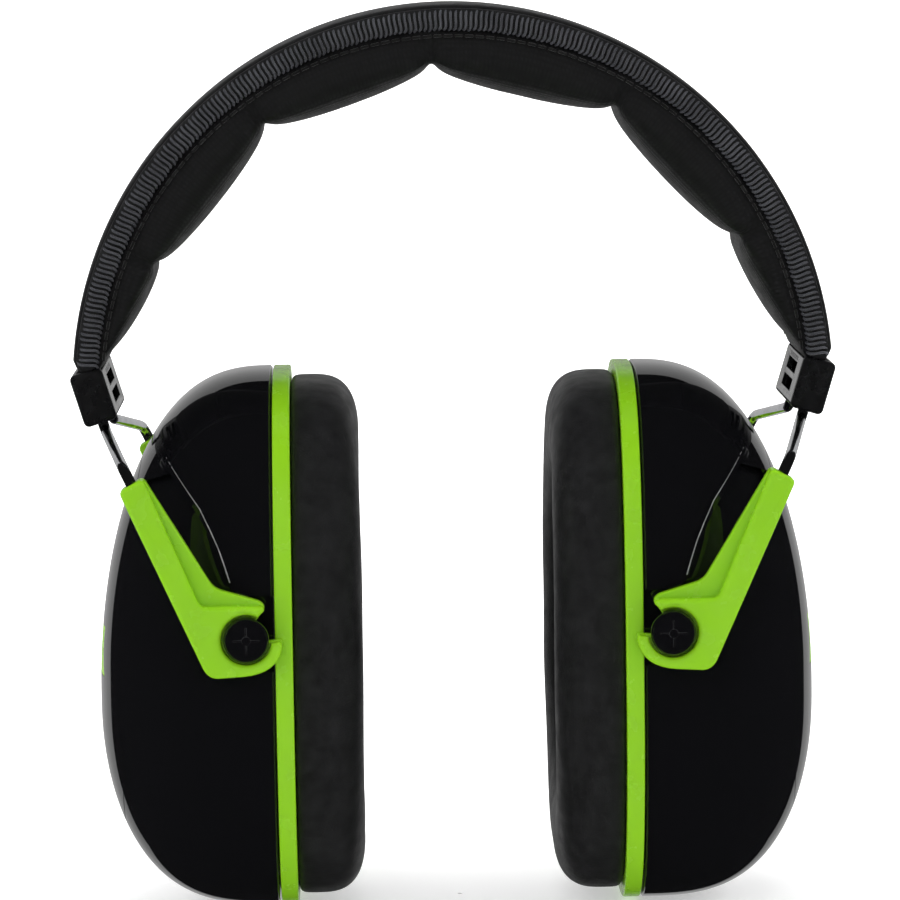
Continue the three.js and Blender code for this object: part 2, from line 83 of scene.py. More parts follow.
class End(Enum):
    """Front or rear half of the earmuff, by the sign of Y."""

    FRONT = -1
    REAR = 1

    @property
    def word(self) -> str:
        """Name used in the nodes."""
        return self.name.lower()


# ---------- materials ----------


class Graph:
    """Adds nodes to one material and wires them."""

    def __init__(self, name: str) -> None:
        """Start an empty material.

        Args:
            name: Name of the material.
        """
        self.material = bpy.data.materials.new(name)
        self.material.use_nodes = True
        self.tree = self.material.node_tree
        self.tree.nodes.clear()
        self.output = self.tree.nodes.new("ShaderNodeOutputMaterial")
        self.place = self.node("ShaderNodeTexCoord").outputs["Object"]

    def node(self, kind: str, inputs: dict | None = None, **settings) -> bpy.types.Node:
        """Add a node.

        Args:
            kind: Blender's node type.
            inputs: Values or sockets for the node's inputs, by name or index.
            **settings: Properties set on the node itself.

        Returns:
            The new node.
        """
        node = self.tree.nodes.new(kind)
        for key, value in settings.items():
            setattr(node, key, value)
        for key, value in (inputs or {}).items():
            if isinstance(value, bpy.types.NodeSocket):
                self.tree.links.new(value, node.inputs[key])
            else:
                node.inputs[key].default_value = value
        return node

    def noise(self, scale: float, detail: float = 2.0, rough: float = 0.5,
              place=None) -> bpy.types.NodeSocket:
        """Grey noise, with scale in cycles per metre."""
        inputs = {"Vector": place or self.place, "Scale": scale, "Detail": detail, "Roughness": rough}
        return self.node("ShaderNodeTexNoise", inputs).outputs["Fac"]

    def cells(self, scale: float, feature: str = "F1", jitter: float = 1.0,
              place=None) -> bpy.types.NodeSocket:
        """Distance within irregular cells, with scale in cells per metre."""
        inputs = {"Vector": place or self.place, "Scale": scale, "Randomness": jitter}
        return self.node("ShaderNodeTexVoronoi", inputs, feature=feature).outputs["Distance"]

    def span(self, value, low: float, high: float, to_low: float = 0.0,
             to_high: float = 1.0) -> bpy.types.NodeSocket:
        """Map a value from one range to another, clamped."""
        inputs = {"Value": value, "From Min": low, "From Max": high, "To Min": to_low, "To Max": to_high}
        return self.node("ShaderNodeMapRange", inputs).outputs["Result"]

    def math(self, operation: str, first, second=0.0) -> bpy.types.NodeSocket:
        """One arithmetic step on two values."""
        return self.node("ShaderNodeMath", {0: first, 1: second}, operation=operation).outputs[0]

    def blend(self, share, first, second) -> bpy.types.NodeSocket:
        """Mix two colours by a share."""
        node = self.node("ShaderNodeMix", {0: share, 6: first, 7: second}, data_type="RGBA")
        return node.outputs[2]

    def stretched(self, scale: Sequence[float], turn: Sequence[float] = (0, 0, 0)) -> bpy.types.NodeSocket:
        """Object coordinates turned and stretched along the axes."""
        mapping = self.node("ShaderNodeMapping", {"Vector": self.place, "Scale": scale, "Rotation": turn})
        return mapping.outputs[0]

    def bump(self, height, strength: float, distance: float, normal=None) -> bpy.types.NodeSocket:
        """Bump from a height, with the relief's depth in metres."""
        inputs = {"Height": height, "Strength": strength, "Distance": distance}
        if normal is not None:
            inputs["Normal"] = normal
        return self.node("ShaderNodeBump", inputs).outputs["Normal"]

    def finish(self, **inputs) -> bpy.types.Material:
        """Add the surface shader and close the material.

        Args:
            **inputs: Values or sockets for the shader, with words joined by underscores.

        Returns:
            The finished material.
        """
        named = {key.replace("_", " "): value for key, value in inputs.items()}
        shader = self.node("ShaderNodeBsdfPrincipled", named)
        self.tree.links.new(shader.outputs[0], self.output.inputs["Surface"])
        return self.material


@dataclass(frozen=True)
class PianoBlack:
    """Polished black plastic with hairline scratches and a trace of dust."""

    name: str = "piano_black"
    color: tuple = (0.0035, 0.0035, 0.0042, 1)

    def build(self) -> bpy.types.Material:
        """Make the material."""
        g = Graph(self.name)
        fine = g.noise(900, 3, 0.6, g.stretched((1, 1, 0.06), (0.5, 0.3, 0.2)))
        cross = g.noise(700, 3, 0.6, g.stretched((1, 0.05, 1), (0.2, 0.9, 0.4)))
        lines = g.math("MAXIMUM", g.span(fine, 0.68, 0.74), g.span(cross, 0.7, 0.76))
        patches = g.span(g.noise(38, 2), 0.52, 0.68)
        scratches = g.math("MULTIPLY", lines, patches)
        haze = g.span(g.noise(60, 4), 0.35, 0.75, 0.028, 0.055)
        rough = g.math("ADD", haze, g.math("MULTIPLY", scratches, 0.14))
        wave = g.bump(g.noise(55, 1), 0.12, 0.0004)
        normal = g.bump(scratches, 0.12, 0.00002, wave)
        return g.finish(Base_Color=self.color, Roughness=rough, Normal=normal, IOR=1.5)


@dataclass(frozen=True)
class LimePlastic:
    """Glossy moulded lime plastic, slightly translucent, with faint flow marks."""

    name: str = "lime_plastic"
    light: tuple = (0.255, 0.565, 0.014, 1)
    deep: tuple = (0.225, 0.52, 0.009, 1)

    def build(self) -> bpy.types.Material:
        """Make the material."""
        g = Graph(self.name)
        flow = g.noise(26, 3, 0.55, g.stretched((1, 1, 0.5)))
        color = g.blend(g.span(flow, 0.35, 0.65), self.deep, self.light)
        rough = g.span(g.noise(220, 3), 0.3, 0.7, 0.2, 0.3)
        skin = g.bump(g.noise(1500, 2), 0.1, 0.00002, g.bump(g.noise(90, 1), 0.12, 0.0003))
        return g.finish(Base_Color=color, Roughness=rough, Normal=skin, IOR=1.5, Subsurface_Weight=0.06,
                        Subsurface_Radius=(0.4, 1.0, 0.1), Subsurface_Scale=0.0012)


@dataclass(frozen=True)
class Leatherette:
    """Matt black soft-touch vinyl with a fine pebbled grain."""

    name: str
    grain: float = 1900.0  # pebbles per metre
    depth: float = 0.00006
    roughness: tuple = (0.42, 0.58)
    color: tuple = (0.0085, 0.0085, 0.009, 1)
    sheen: float = 0.03

    def build(self) -> bpy.types.Material:
        """Make the material."""
        g = Graph(self.name)
        drift = g.noise(160, 2)
        pebbles = g.cells(self.grain)
        creases = g.span(g.cells(self.grain, "DISTANCE_TO_EDGE"), 0.0, 0.16)
        height = g.math("ADD", g.math("MULTIPLY", creases, 0.7), g.math("MULTIPLY", pebbles, -0.4))
        tone = g.span(g.math("ADD", g.noise(420, 4), g.math("MULTIPLY", drift, 0.5)), 0.5, 1.0)
        worn = tuple(c * 1.9 for c in self.color[:3]) + (1,)
        color = g.blend(tone, self.color, worn)
        rough = g.span(g.noise(300, 3), 0.3, 0.7, *self.roughness)
        normal = g.bump(height, 0.5, self.depth, g.bump(drift, 0.25, 0.0004))
        return g.finish(Base_Color=color, Roughness=rough, Normal=normal, Sheen_Weight=self.sheen,
                        Sheen_Roughness=0.4, IOR=1.46)


@dataclass(frozen=True)
class MeshVinyl:
    """Black padding fabric with a close grid of tiny raised dots."""

    name: str = "pad_mesh_vinyl"
    pitch: float = 0.00085
    color: tuple = (0.008, 0.008, 0.0085, 1)
    raised: tuple = (0.014, 0.014, 0.015, 1)

    def build(self) -> bpy.types.Material:
        """Make the material; the dots follow the UV map, which is in metres along and across the band."""
        g = Graph(self.name)
        uv = g.node("ShaderNodeTexCoord").outputs["UV"]
        dots = g.cells(1 / self.pitch, jitter=0.12, place=uv)
        dome = g.span(dots, 0.12, 0.5, 1.0, 0.0)
        color = g.blend(g.math("MULTIPLY", dome, 0.6), self.color, self.raised)
        rough = g.span(g.noise(340, 3), 0.3, 0.7, 0.46, 0.62)
        crumple = g.bump(g.noise(240, 3), 0.3, 0.00025)
        normal = g.bump(dome, 0.6, 0.00011, crumple)
        return g.finish(Base_Color=color, Roughness=rough, Normal=normal, Sheen_Weight=0.03,
                        Sheen_Roughness=0.35, IOR=1.46)


@dataclass(frozen=True)
class Thread:
    """Charcoal polyester thread with a soft silky shine and twisted plies."""

    name: str = "overlock_thread"
    color: tuple = (0.028, 0.029, 0.034, 1)
    bright: tuple = (0.085, 0.088, 0.1, 1)

    def build(self) -> bpy.types.Material:
        """Make the material."""
        g = Graph(self.name)
        strands = g.noise(5200, 3, 0.6, g.stretched((1, 1, 0.4), (0.0, 0.5, 0.3)))
        patches = g.noise(110, 2)
        share = g.span(g.math("ADD", strands, g.math("MULTIPLY", patches, 0.6)), 0.55, 1.05)
        color = g.blend(share, self.color, self.bright)
        rough = g.span(strands, 0.3, 0.7, 0.34, 0.52)
        normal = g.bump(strands, 0.55, 0.00008)
        return g.finish(Base_Color=color, Roughness=rough, Normal=normal, Sheen_Weight=0.25,
                        Sheen_Roughness=0.3, IOR=1.5)


@dataclass(frozen=True)
class GrainedPlastic:
    """Satin black plastic with a spark-eroded mould grain; its lighter copies are painted highlights on
    bevelled edges.
    """

    name: str
    color: tuple = (0.006, 0.006, 0.0065, 1)
    roughness: tuple = (0.22, 0.38)
    grain: float = 1500.0
    depth: float = 0.00008

    def build(self) -> bpy.types.Material:
        """Make the material."""
        g = Graph(self.name)
        speckle = g.noise(self.grain, 4, 0.65)
        worn = tuple(c * 2.2 for c in self.color[:3]) + (1,)
        color = g.blend(g.span(g.noise(420, 4, 0.7), 0.5, 0.8), self.color, worn)
        rough = g.span(g.noise(500, 3), 0.3, 0.7, *self.roughness)
        normal = g.bump(speckle, 0.45, self.depth)
        return g.finish(Base_Color=color, Roughness=rough, Normal=normal, IOR=1.5)


@dataclass(frozen=True)
class SpringSteel:
    """Bright plated spring wire with drawing lines and light rubbing."""

    name: str = "plated_wire"
    color: tuple = (0.66, 0.67, 0.69, 1)

    def build(self) -> bpy.types.Material:
        """Make the material."""
        g = Graph(self.name)
        marks = g.noise(900, 3, 0.6, g.stretched((0.2, 1, 1)))
        dull = tuple(c * 0.8 for c in self.color[:3]) + (1,)
        color = g.blend(g.span(g.noise(260, 3), 0.45, 0.75), self.color, dull)
        rough = g.span(marks, 0.35, 0.7, 0.07, 0.2)
        normal = g.bump(marks, 0.15, 0.00001)
        return g.finish(Base_Color=color, Metallic=1.0, Roughness=rough, Normal=normal)


@dataclass(frozen=True)
class OpenCellFoam:
    """Dark grey acoustic foam with open cells, their pits darkened by painted shade."""

    name: str = "acoustic_foam"
    color: tuple = (0.05, 0.05, 0.053, 1)

    def build(self) -> bpy.types.Material:
        """Make the material."""
        g = Graph(self.name)
        cells = g.cells(1500)
        pits = g.span(cells, 0.1, 0.55, 0.0, 1.0)
        # Painted shade: the cell pits are darkened to a quarter of the foam's colour.
        hollow = tuple(c * 0.25 for c in self.color[:3]) + (1,)
        color = g.blend(pits, hollow, self.color)
        normal = g.bump(pits, 0.9, 0.0003, g.bump(g.noise(180, 2), 0.3, 0.0006))
        return g.finish(Base_Color=color, Roughness=0.95, Normal=normal, Sheen_Weight=0.2)


@dataclass(frozen=True)
class StudioPaper:
    """Plain pale matt surface of the studio."""

    name: str
    color: tuple = (0.8, 0.8, 0.8, 1)
    near_glow: float = 0.16
    far_glow: float = 0.85

    def build(self) -> bpy.types.Material:
        """Make the material, which glows more towards the rear of the studio."""
        g = Graph(self.name)
        depth = g.node("ShaderNodeSeparateXYZ", {0: g.place}).outputs["Y"]
        glow = g.span(depth, -0.2, 0.25, self.near_glow, self.far_glow)
        return g.finish(Base_Color=self.color, Roughness=0.9, Emission_Color=(1, 1, 1, 1),
                        Emission_Strength=glow, Specular_IOR_Level=0.0)


@dataclass
class Palette:
    """All finishes of the earmuff, each made once."""

    shell: bpy.types.Material = field(default_factory=lambda: PianoBlack().build())
    # Painted highlight: lighter grey on the bevelled edges of the shell and pivots, standing in for thin edge
    # glints.
    shell_edge: bpy.types.Material = field(default_factory=lambda: GrainedPlastic(
        "rubbed_edge", (0.11, 0.11, 0.112, 1), (0.1, 0.2), depth=0.00001).build())
    # Painted highlight: light grey of the thin tube along each recess edge, standing in for the edge's
    # reflection.
    rim: bpy.types.Material = field(default_factory=lambda: GrainedPlastic(
        "polished_rim", (0.2, 0.2, 0.205, 1), (0.1, 0.2), depth=0.00001).build())
    lime: bpy.types.Material = field(default_factory=lambda: LimePlastic().build())
    # Painted highlight: lighter lime on the arms' bevelled edges.
    lime_edge: bpy.types.Material = field(default_factory=lambda: LimePlastic(
        "lime_edge", (0.42, 0.72, 0.12, 1), (0.37, 0.66, 0.09, 1)).build())
    # Painted highlight: grey ten times lighter than the buckle, on the buckle's bevelled edges.
    buckle_edge: bpy.types.Material = field(
        default_factory=lambda: GrainedPlastic("buckle_edge", (0.06, 0.06, 0.06, 1), (0.15, 0.3)).build())
    cushion: bpy.types.Material = field(default_factory=lambda: Leatherette("cushion_vinyl").build())
    cover: bpy.types.Material = field(
        default_factory=lambda: Leatherette("cover_vinyl", 1300, 0.00009).build())
    pad: bpy.types.Material = field(default_factory=lambda: MeshVinyl().build())
    thread: bpy.types.Material = field(default_factory=lambda: Thread().build())
    seam: bpy.types.Material = field(default_factory=lambda: Thread(
        "seam_thread", (0.006, 0.006, 0.006, 1), (0.018, 0.018, 0.018, 1)).build())
    buckle: bpy.types.Material = field(default_factory=lambda: GrainedPlastic("buckle_plastic").build())
    lid: bpy.types.Material = field(
        default_factory=lambda: GrainedPlastic("lid_plastic", roughness=(0.12, 0.2), depth=0.000008).build())
    plate: bpy.types.Material = field(default_factory=lambda: GrainedPlastic(
        "plate_plastic", (0.012, 0.012, 0.013, 1), (0.45, 0.6)).build())
    wire: bpy.types.Material = field(default_factory=lambda: SpringSteel().build())
    foam: bpy.types.Material = field(default_factory=lambda: OpenCellFoam().build())


# ---------- mesh helpers ----------


def place_mm(x: float, y: float, height: float) -> Vector:
    """Point from millimetres, with the height measured up from the cups' lowest point."""
    return Vector((x * MM, y * MM, FLOOR_Z + height * MM))


def smoothstep(low: float, high: float, value: float) -> float:
    """Rise smoothly from 0 at low to 1 at high."""
    t = min(1.0, max(0.0, (value - low) / (high - low)))
    return t * t * (3 - 2 * t)


def lerp(a: float, b: float, t: float) -> float:
    """Value at share t from a to b."""
    return a + (b - a) * t


def steps(count: int) -> list[float]:
    """Shares 0 to 1 in the given number of equal steps, both ends included."""
    return [k / count for k in range(count + 1)]


def link(name: str, mesh: bpy.types.Mesh, material: bpy.types.Material) -> bpy.types.Object:
    """Put a mesh in the scene as a smooth-shaded object with one material."""
    mesh.materials.clear()
    mesh.materials.append(material)
    mesh.polygons.foreach_set("use_smooth", [True] * len(mesh.polygons))
    obj = bpy.data.objects.new(name, mesh)
    bpy.context.scene.collection.objects.link(obj)
    return obj


def loft_mesh(name: str, rings: Sequence[Ring], closed: bool = False, caps: bool = True) -> bpy.types.Mesh:
    """Join rings of points with four-sided faces.

    Args:
        name: Name of the mesh.
        rings: Rings with equal numbers of points.
        closed: Whether the last ring joins the first.
        caps: Whether an open loft gets end faces.

    Returns:
        A closed mesh with its faces outwards.
    """
    count = len(rings[0])
    verts = [point for ring in rings for point in ring]
    faces = []
    for i in range(len(rings) if closed else len(rings) - 1):
        here, there = i * count, ((i + 1) % len(rings)) * count
        faces += [(here + k, there + k, there + (k + 1) % count, here + (k + 1) % count)
                  for k in range(count)]
    if caps and not closed:
        faces += [tuple(range(count)), tuple((len(rings) - 1) * count + k for k in range(count))]
    mesh = bpy.data.meshes.new(name)
    mesh.from_pydata(verts, [], faces)
    outward(mesh)
    return mesh


def outward(mesh: bpy.types.Mesh) -> None:
    """Turn all faces of a closed mesh outwards."""
    work = bmesh.new()
    work.from_mesh(mesh)
    bmesh.ops.remove_doubles(work, verts=work.verts, dist=1e-7)
    bmesh.ops.recalc_face_normals(work, faces=work.faces)
    work.to_mesh(mesh)
    work.free()


def applied(obj: bpy.types.Object) -> bpy.types.Object:
    """Replace an object's mesh by its evaluated one and drop its modifiers."""
    bpy.context.view_layer.update()
    graph = bpy.context.evaluated_depsgraph_get()
    mesh = bpy.data.meshes.new_from_object(obj.evaluated_get(graph), depsgraph=graph)
    mesh.name = obj.name
    obj.modifiers.clear()
    obj.data = mesh
    return obj


def remove(*objects: bpy.types.Object) -> None:
    """Delete helper objects."""
    for obj in objects:
        bpy.data.objects.remove(obj, do_unlink=True)


def combine(target: bpy.types.Object, operation: str, *tools: bpy.types.Object) -> bpy.types.Object:
    """Join or cut an object with others, which are used up.

    Args:
        target: Object that is kept.
        operation: UNION, DIFFERENCE or INTERSECT.
        *tools: Objects applied one after another.

    Returns:
        The target with its new mesh.
    """
    for tool in tools:
        modifier = target.modifiers.new("combine", "BOOLEAN")
        modifier.operation = operation
        modifier.solver = "EXACT"
        modifier.object = tool
        applied(target)
        remove(tool)
    return target


def soften(obj: bpy.types.Object, width: float, segments: int = 2, angle: float = 30.0,
           finishes: Sequence[bpy.types.Material] = ()) -> bpy.types.Object:
    """Round an object's sharp edges and shade it smooth between them.

    Args:
        obj: Object to round.
        width: Width of the rounded edges.
        segments: Number of faces across an edge.
        angle: Smallest angle in degrees that counts as an edge.
        finishes: The object's finish and, where they differ, a lighter one painted on its rounded edges as a
            painted highlight.

    Returns:
        The object with its new mesh.
    """
    if finishes:
        obj.data.materials.clear()
        for finish in finishes:
            obj.data.materials.append(finish)
    modifier = obj.modifiers.new("edges", "BEVEL")
    if finishes:
        # The rounded edges get the second finish, a painted highlight.
        modifier.material = 1
    modifier.width = width
    modifier.segments = segments
    modifier.limit_method = "ANGLE"
    modifier.angle_limit = math.radians(angle)
    modifier.harden_normals = True
    modifier.use_clamp_overlap = True
    obj.data.polygons.foreach_set("use_smooth", [True] * len(obj.data.polygons))
    return applied(obj)


def mirrored(mesh: bpy.types.Mesh, x: int, y: int) -> bpy.types.Mesh:
    """Mirror a mesh in place, keeping its faces outwards."""
    mesh.transform(Matrix.Diagonal((x, y, 1, 1)))
    if x * y < 0:
        mesh.flip_normals()
    return mesh


def block(name: str, low: Sequence[float], high: Sequence[float]) -> bpy.types.Object:
    """A cutting block between two corners."""
    work = bmesh.new()
    bmesh.ops.create_cube(work, size=1.0)
    size = [h - l for l, h in zip(low, high)]
    middle = [(h + l) / 2 for l, h in zip(low, high)]
    bmesh.ops.scale(work, vec=size, verts=work.verts)
    bmesh.ops.translate(work, vec=middle, verts=work.verts)
    mesh = bpy.data.meshes.new(name)
    work.to_mesh(mesh)
    work.free()
    obj = bpy.data.objects.new(name, mesh)
    bpy.context.scene.collection.objects.link(obj)
    return obj


def rod(name: str, start: Vector, end: Vector, radius: float, sides: int = 32) -> bpy.types.Object:
    """A round cutting rod between two points."""
    obj = bpy.data.objects.new(name, tube_mesh(name, [start, end], radius, sides))
    bpy.context.scene.collection.objects.link(obj)
    return obj


def tube_mesh(name: str, path: Sequence[Vector], radius: float, sides: int = 24) -> bpy.types.Mesh:
    """A round bar along a path, with its section carried along without twist."""
    side = Vector((0, 1, 0.001))
    rings = []
    for i, point in enumerate(path):
        tangent = (path[min(i + 1, len(path) - 1)] - path[max(i - 1, 0)]).normalized()
        side = (side - tangent * side.dot(tangent)).normalized()
        up = tangent.cross(side)
        rings.append([point + radius * (side * math.cos(a) + up * math.sin(a))
                      for a in (2 * math.pi * k / sides for k in range(sides))])
    return loft_mesh(name, rings)


def lathe_mesh(name: str, profile: Sequence[tuple[float, float]], sides: int = 64) -> bpy.types.Mesh:
    """Turn a profile of radius and height about Z into a closed solid, with its ends on the axis."""
    rings = [[Vector((r * math.cos(a), r * math.sin(a), h)) for a in
              (2 * math.pi * k / sides for k in range(sides))] for r, h in profile]
    return loft_mesh(name, rings)


@dataclass
class Outline:
    """A closed flat outline in X and Y, drawn with lines, curves and arcs."""

    points: list[Vector]

    def line(self, *corners: tuple[float, float]) -> "Outline":
        """Add straight stretches."""
        self.points += [Vector(corner) for corner in corners]
        return self

    def curve(self, handle: tuple[float, float], end: tuple[float, float], count: int = 8) -> "Outline":
        """Add a curve pulled towards a handle."""
        start, pull, stop = self.points[-1], Vector(handle), Vector(end)
        self.points += [start * (1 - t) ** 2 + pull * 2 * t * (1 - t) + stop * t * t
                        for t in steps(count)[1:]]
        return self

    def arc(self, radius: float, start: float, end: float, count: int = 40) -> "Outline":
        """Add an arc about the origin, with angles in radians."""
        self.points += [Vector((radius * math.cos(a), radius * math.sin(a)))
                        for a in (lerp(start, end, t) for t in steps(count))]
        return self


def plate_object(name: str, outline: Outline, near: float, far: float, rounding: float) -> bpy.types.Object:
    """A plate with rounded edges from an outline in millimetres drawn in X and Z.

    Args:
        name: Name of the object.
        outline: Outline in millimetres, with Y standing for Z.
        near: Distance of the plate's inner face in front of the middle plane, in millimetres.
        far: Distance of its outer face.
        rounding: Radius of its edges, in millimetres.

    Returns:
        The plate, facing the front.
    """
    curve = bpy.data.curves.new(name, "CURVE")
    curve.dimensions = "2D"
    curve.fill_mode = "BOTH"
    curve.extrude = (far - near) / 2 - rounding
    curve.bevel_depth = rounding
    curve.bevel_resolution = 3
    curve.offset = -rounding
    spline = curve.splines.new("POLY")
    spline.points.add(len(outline.points) - 1)
    spline.use_cyclic_u = True
    for point, corner in zip(spline.points, outline.points):
        point.co = (corner.x, corner.y, 0, 1)
    source = bpy.data.objects.new(name, curve)
    bpy.context.scene.collection.objects.link(source)
    bpy.context.view_layer.update()
    graph = bpy.context.evaluated_depsgraph_get()
    mesh = bpy.data.meshes.new_from_object(source.evaluated_get(graph), depsgraph=graph)
    remove(source)
    centred = Matrix.Translation((0, -(near + far) / 2, 0))
    turn = Matrix.Scale(MM, 4) @ centred @ Matrix.Rotation(math.pi / 2, 4, "X")
    mesh.transform(turn)
    outward(mesh)
    obj = bpy.data.objects.new(name, mesh)
    bpy.context.scene.collection.objects.link(obj)
    return obj


# ---------- soft goods ----------


@dataclass
class Stuffing:
    """Cloth simulation that swells a closed skin, run at ten times its size."""

    pressure: float = 4.0
    frames: int = 18
    limit: float = 0.0025  # furthest that a point may move, in metres
    scale: float = 10.0
    stiffness: float = 12.0

    def swell(self, obj: bpy.types.Object, held: Callable[[Vector], float]) -> None:
        """Blow up a skin and keep the result in its mesh.

        Args:
            obj: Skin to swell.
            held: Share from 0 to 1 by which the sewing holds a point where it is.
        """
        mesh = obj.data
        start = [v.co.copy() for v in mesh.vertices]
        group = obj.vertex_groups.new(name="held")
        for v in mesh.vertices:
            share = held(v.co)
            if share > 0:
                group.add([v.index], share, "REPLACE")
        mesh.transform(Matrix.Scale(self.scale, 4))
        modifier = obj.modifiers.new("stuffing", "CLOTH")
        cloth = modifier.settings
        cloth.quality = 5
        cloth.mass = 0.25
        cloth.tension_stiffness = self.stiffness
        cloth.compression_stiffness = self.stiffness
        cloth.shear_stiffness = self.stiffness * 0.5
        cloth.bending_stiffness = 0.4
        cloth.air_damping = 3
        cloth.use_pressure = True
        cloth.uniform_pressure_force = self.pressure
        cloth.vertex_group_mass = "held"
        cloth.effector_weights.gravity = 0
        modifier.collision_settings.use_collision = False
        modifier.point_cache.frame_start = 1
        modifier.point_cache.frame_end = self.frames
        scene = bpy.context.scene
        for number in range(1, self.frames + 1):
            scene.frame_set(number)
        graph = bpy.context.evaluated_depsgraph_get()
        moved = [v.co / self.scale for v in obj.evaluated_get(graph).to_mesh().vertices]
        obj.modifiers.clear()
        obj.vertex_groups.clear()
        scene.frame_set(1)
        for v, before, after in zip(mesh.vertices, start, moved):
            step = after - before
            if step.length > self.limit:
                step = step.normalized() * self.limit
            v.co = before + step
        mesh.update()


def subdivided(obj: bpy.types.Object, levels: int = 1) -> bpy.types.Object:
    """Smooth an object with subdivision and keep the result."""
    modifier = obj.modifiers.new("smooth", "SUBSURF")
    modifier.levels = levels
    modifier.render_levels = levels
    return applied(obj)


# ---------- headband ----------


@dataclass
class ThreadLoops:
    """Rows of thread loops or stitches on an arc, made by one Geometry Nodes tree.

    Each loop is a curved strand in a plane across the band, repeated at even steps.
    """

    start: Vector
    start_pull: Vector
    end_pull: Vector
    end: Vector
    thickness: float = 0.00042
    unevenness: float = 0.05
    seed: int = 3

    def tree(self, material: bpy.types.Material) -> bpy.types.GeometryNodeTree:
        """Build the tree with named inputs for its sizes."""
        tree = bpy.data.node_groups.new("thread_loops", "GeometryNodeTree")
        face = tree.interface
        face.new_socket("Geometry", in_out="INPUT", socket_type="NodeSocketGeometry")
        for name in ("Start", "Start pull", "End pull", "End"):
            face.new_socket(name, in_out="INPUT", socket_type="NodeSocketVector")
        for name in ("Thickness", "Unevenness", "Arc centre height"):
            face.new_socket(name, in_out="INPUT", socket_type="NodeSocketFloat")
        face.new_socket("Seed", in_out="INPUT", socket_type="NodeSocketInt")
        face.new_socket("Geometry", in_out="OUTPUT", socket_type="NodeSocketGeometry")

        def add(kind: str, inputs: dict | None = None, **settings) -> bpy.types.Node:
            """Add one node with its values and links."""
            node = tree.nodes.new(kind)
            for key, value in settings.items():
                setattr(node, key, value)
            for key, value in (inputs or {}).items():
                if isinstance(value, bpy.types.NodeSocket):
                    tree.links.new(value, node.inputs[key])
                else:
                    node.inputs[key].default_value = value
            return node

        given = add("NodeGroupInput").outputs
        strand = add("GeometryNodeCurvePrimitiveBezierSegment", {
            "Resolution": 9, "Start": given["Start"], "Start Handle": given["Start pull"],
            "End Handle": given["End pull"], "End": given["End"]})
        section = add("GeometryNodeCurvePrimitiveCircle", {"Resolution": 7, "Radius": given["Thickness"]})
        solid = add("GeometryNodeCurveToMesh", {
            "Curve": strand.outputs[0], "Profile Curve": section.outputs[0], "Fill Caps": True})
        smooth = add("GeometryNodeSetShadeSmooth", {"Geometry": solid.outputs[0]})
        where = add("ShaderNodeSeparateXYZ", {0: add("GeometryNodeInputPosition").outputs[0]})
        height = add("ShaderNodeMath", {
            0: where.outputs["Z"], 1: given["Arc centre height"]}, operation="SUBTRACT")
        turn = add("ShaderNodeMath", {0: where.outputs["X"], 1: height.outputs[0]}, operation="ARCTAN2")
        low = add("ShaderNodeMath", {0: given["Unevenness"], 1: -1.0}, operation="MULTIPLY")
        stray = add("FunctionNodeRandomValue", {
            2: low.outputs[0], 3: given["Unevenness"], "Seed": given["Seed"]}, data_type="FLOAT")
        lean = add("ShaderNodeMath", {0: stray.outputs[1], 1: 1.4}, operation="MULTIPLY")
        rotation = add("ShaderNodeCombineXYZ", {
            "Y": turn.outputs[0], "X": lean.outputs[0], "Z": stray.outputs[1]})
        size = add("ShaderNodeMath", {0: stray.outputs[1], 1: 1.0}, operation="ADD")
        copies = add("GeometryNodeInstanceOnPoints", {
            "Points": given["Geometry"], "Instance": smooth.outputs[0],
            "Rotation": rotation.outputs[0], "Scale": size.outputs[0]})
        real = add("GeometryNodeRealizeInstances", {"Geometry": copies.outputs[0]})
        dressed = add("GeometryNodeSetMaterial", {"Geometry": real.outputs[0], "Material": material})
        add("NodeGroupOutput", {"Geometry": dressed.outputs[0]})
        return tree

    def build(self, name: str, path: Sequence[Vector], centre_z: float,
              material: bpy.types.Material) -> bpy.types.Object:
        """Repeat the strand along a path.

        Args:
            name: Name of the new object.
            path: Points that each get one strand.
            centre_z: Height of the arc's centre.
            material: Finish of the thread.

        Returns:
            The loops as a plain mesh object.
        """
        mesh = bpy.data.meshes.new(name)
        mesh.from_pydata(list(path), [], [])
        obj = bpy.data.objects.new(name, mesh)
        bpy.context.scene.collection.objects.link(obj)
        modifier = obj.modifiers.new("loops", "NODES")
        tree = self.tree(material)
        modifier.node_group = tree
        values = {"Start": self.start, "Start pull": self.start_pull,
                  "End pull": self.end_pull, "End": self.end,
                  "Thickness": self.thickness, "Unevenness": self.unevenness, "Arc centre height": centre_z,
                  "Seed": self.seed}
        for item in tree.interface.items_tree:
            if item.in_out == "INPUT" and item.name in values:
                modifier[item.identifier] = values[item.name]
        applied(obj)
        bpy.data.node_groups.remove(tree)
        return obj


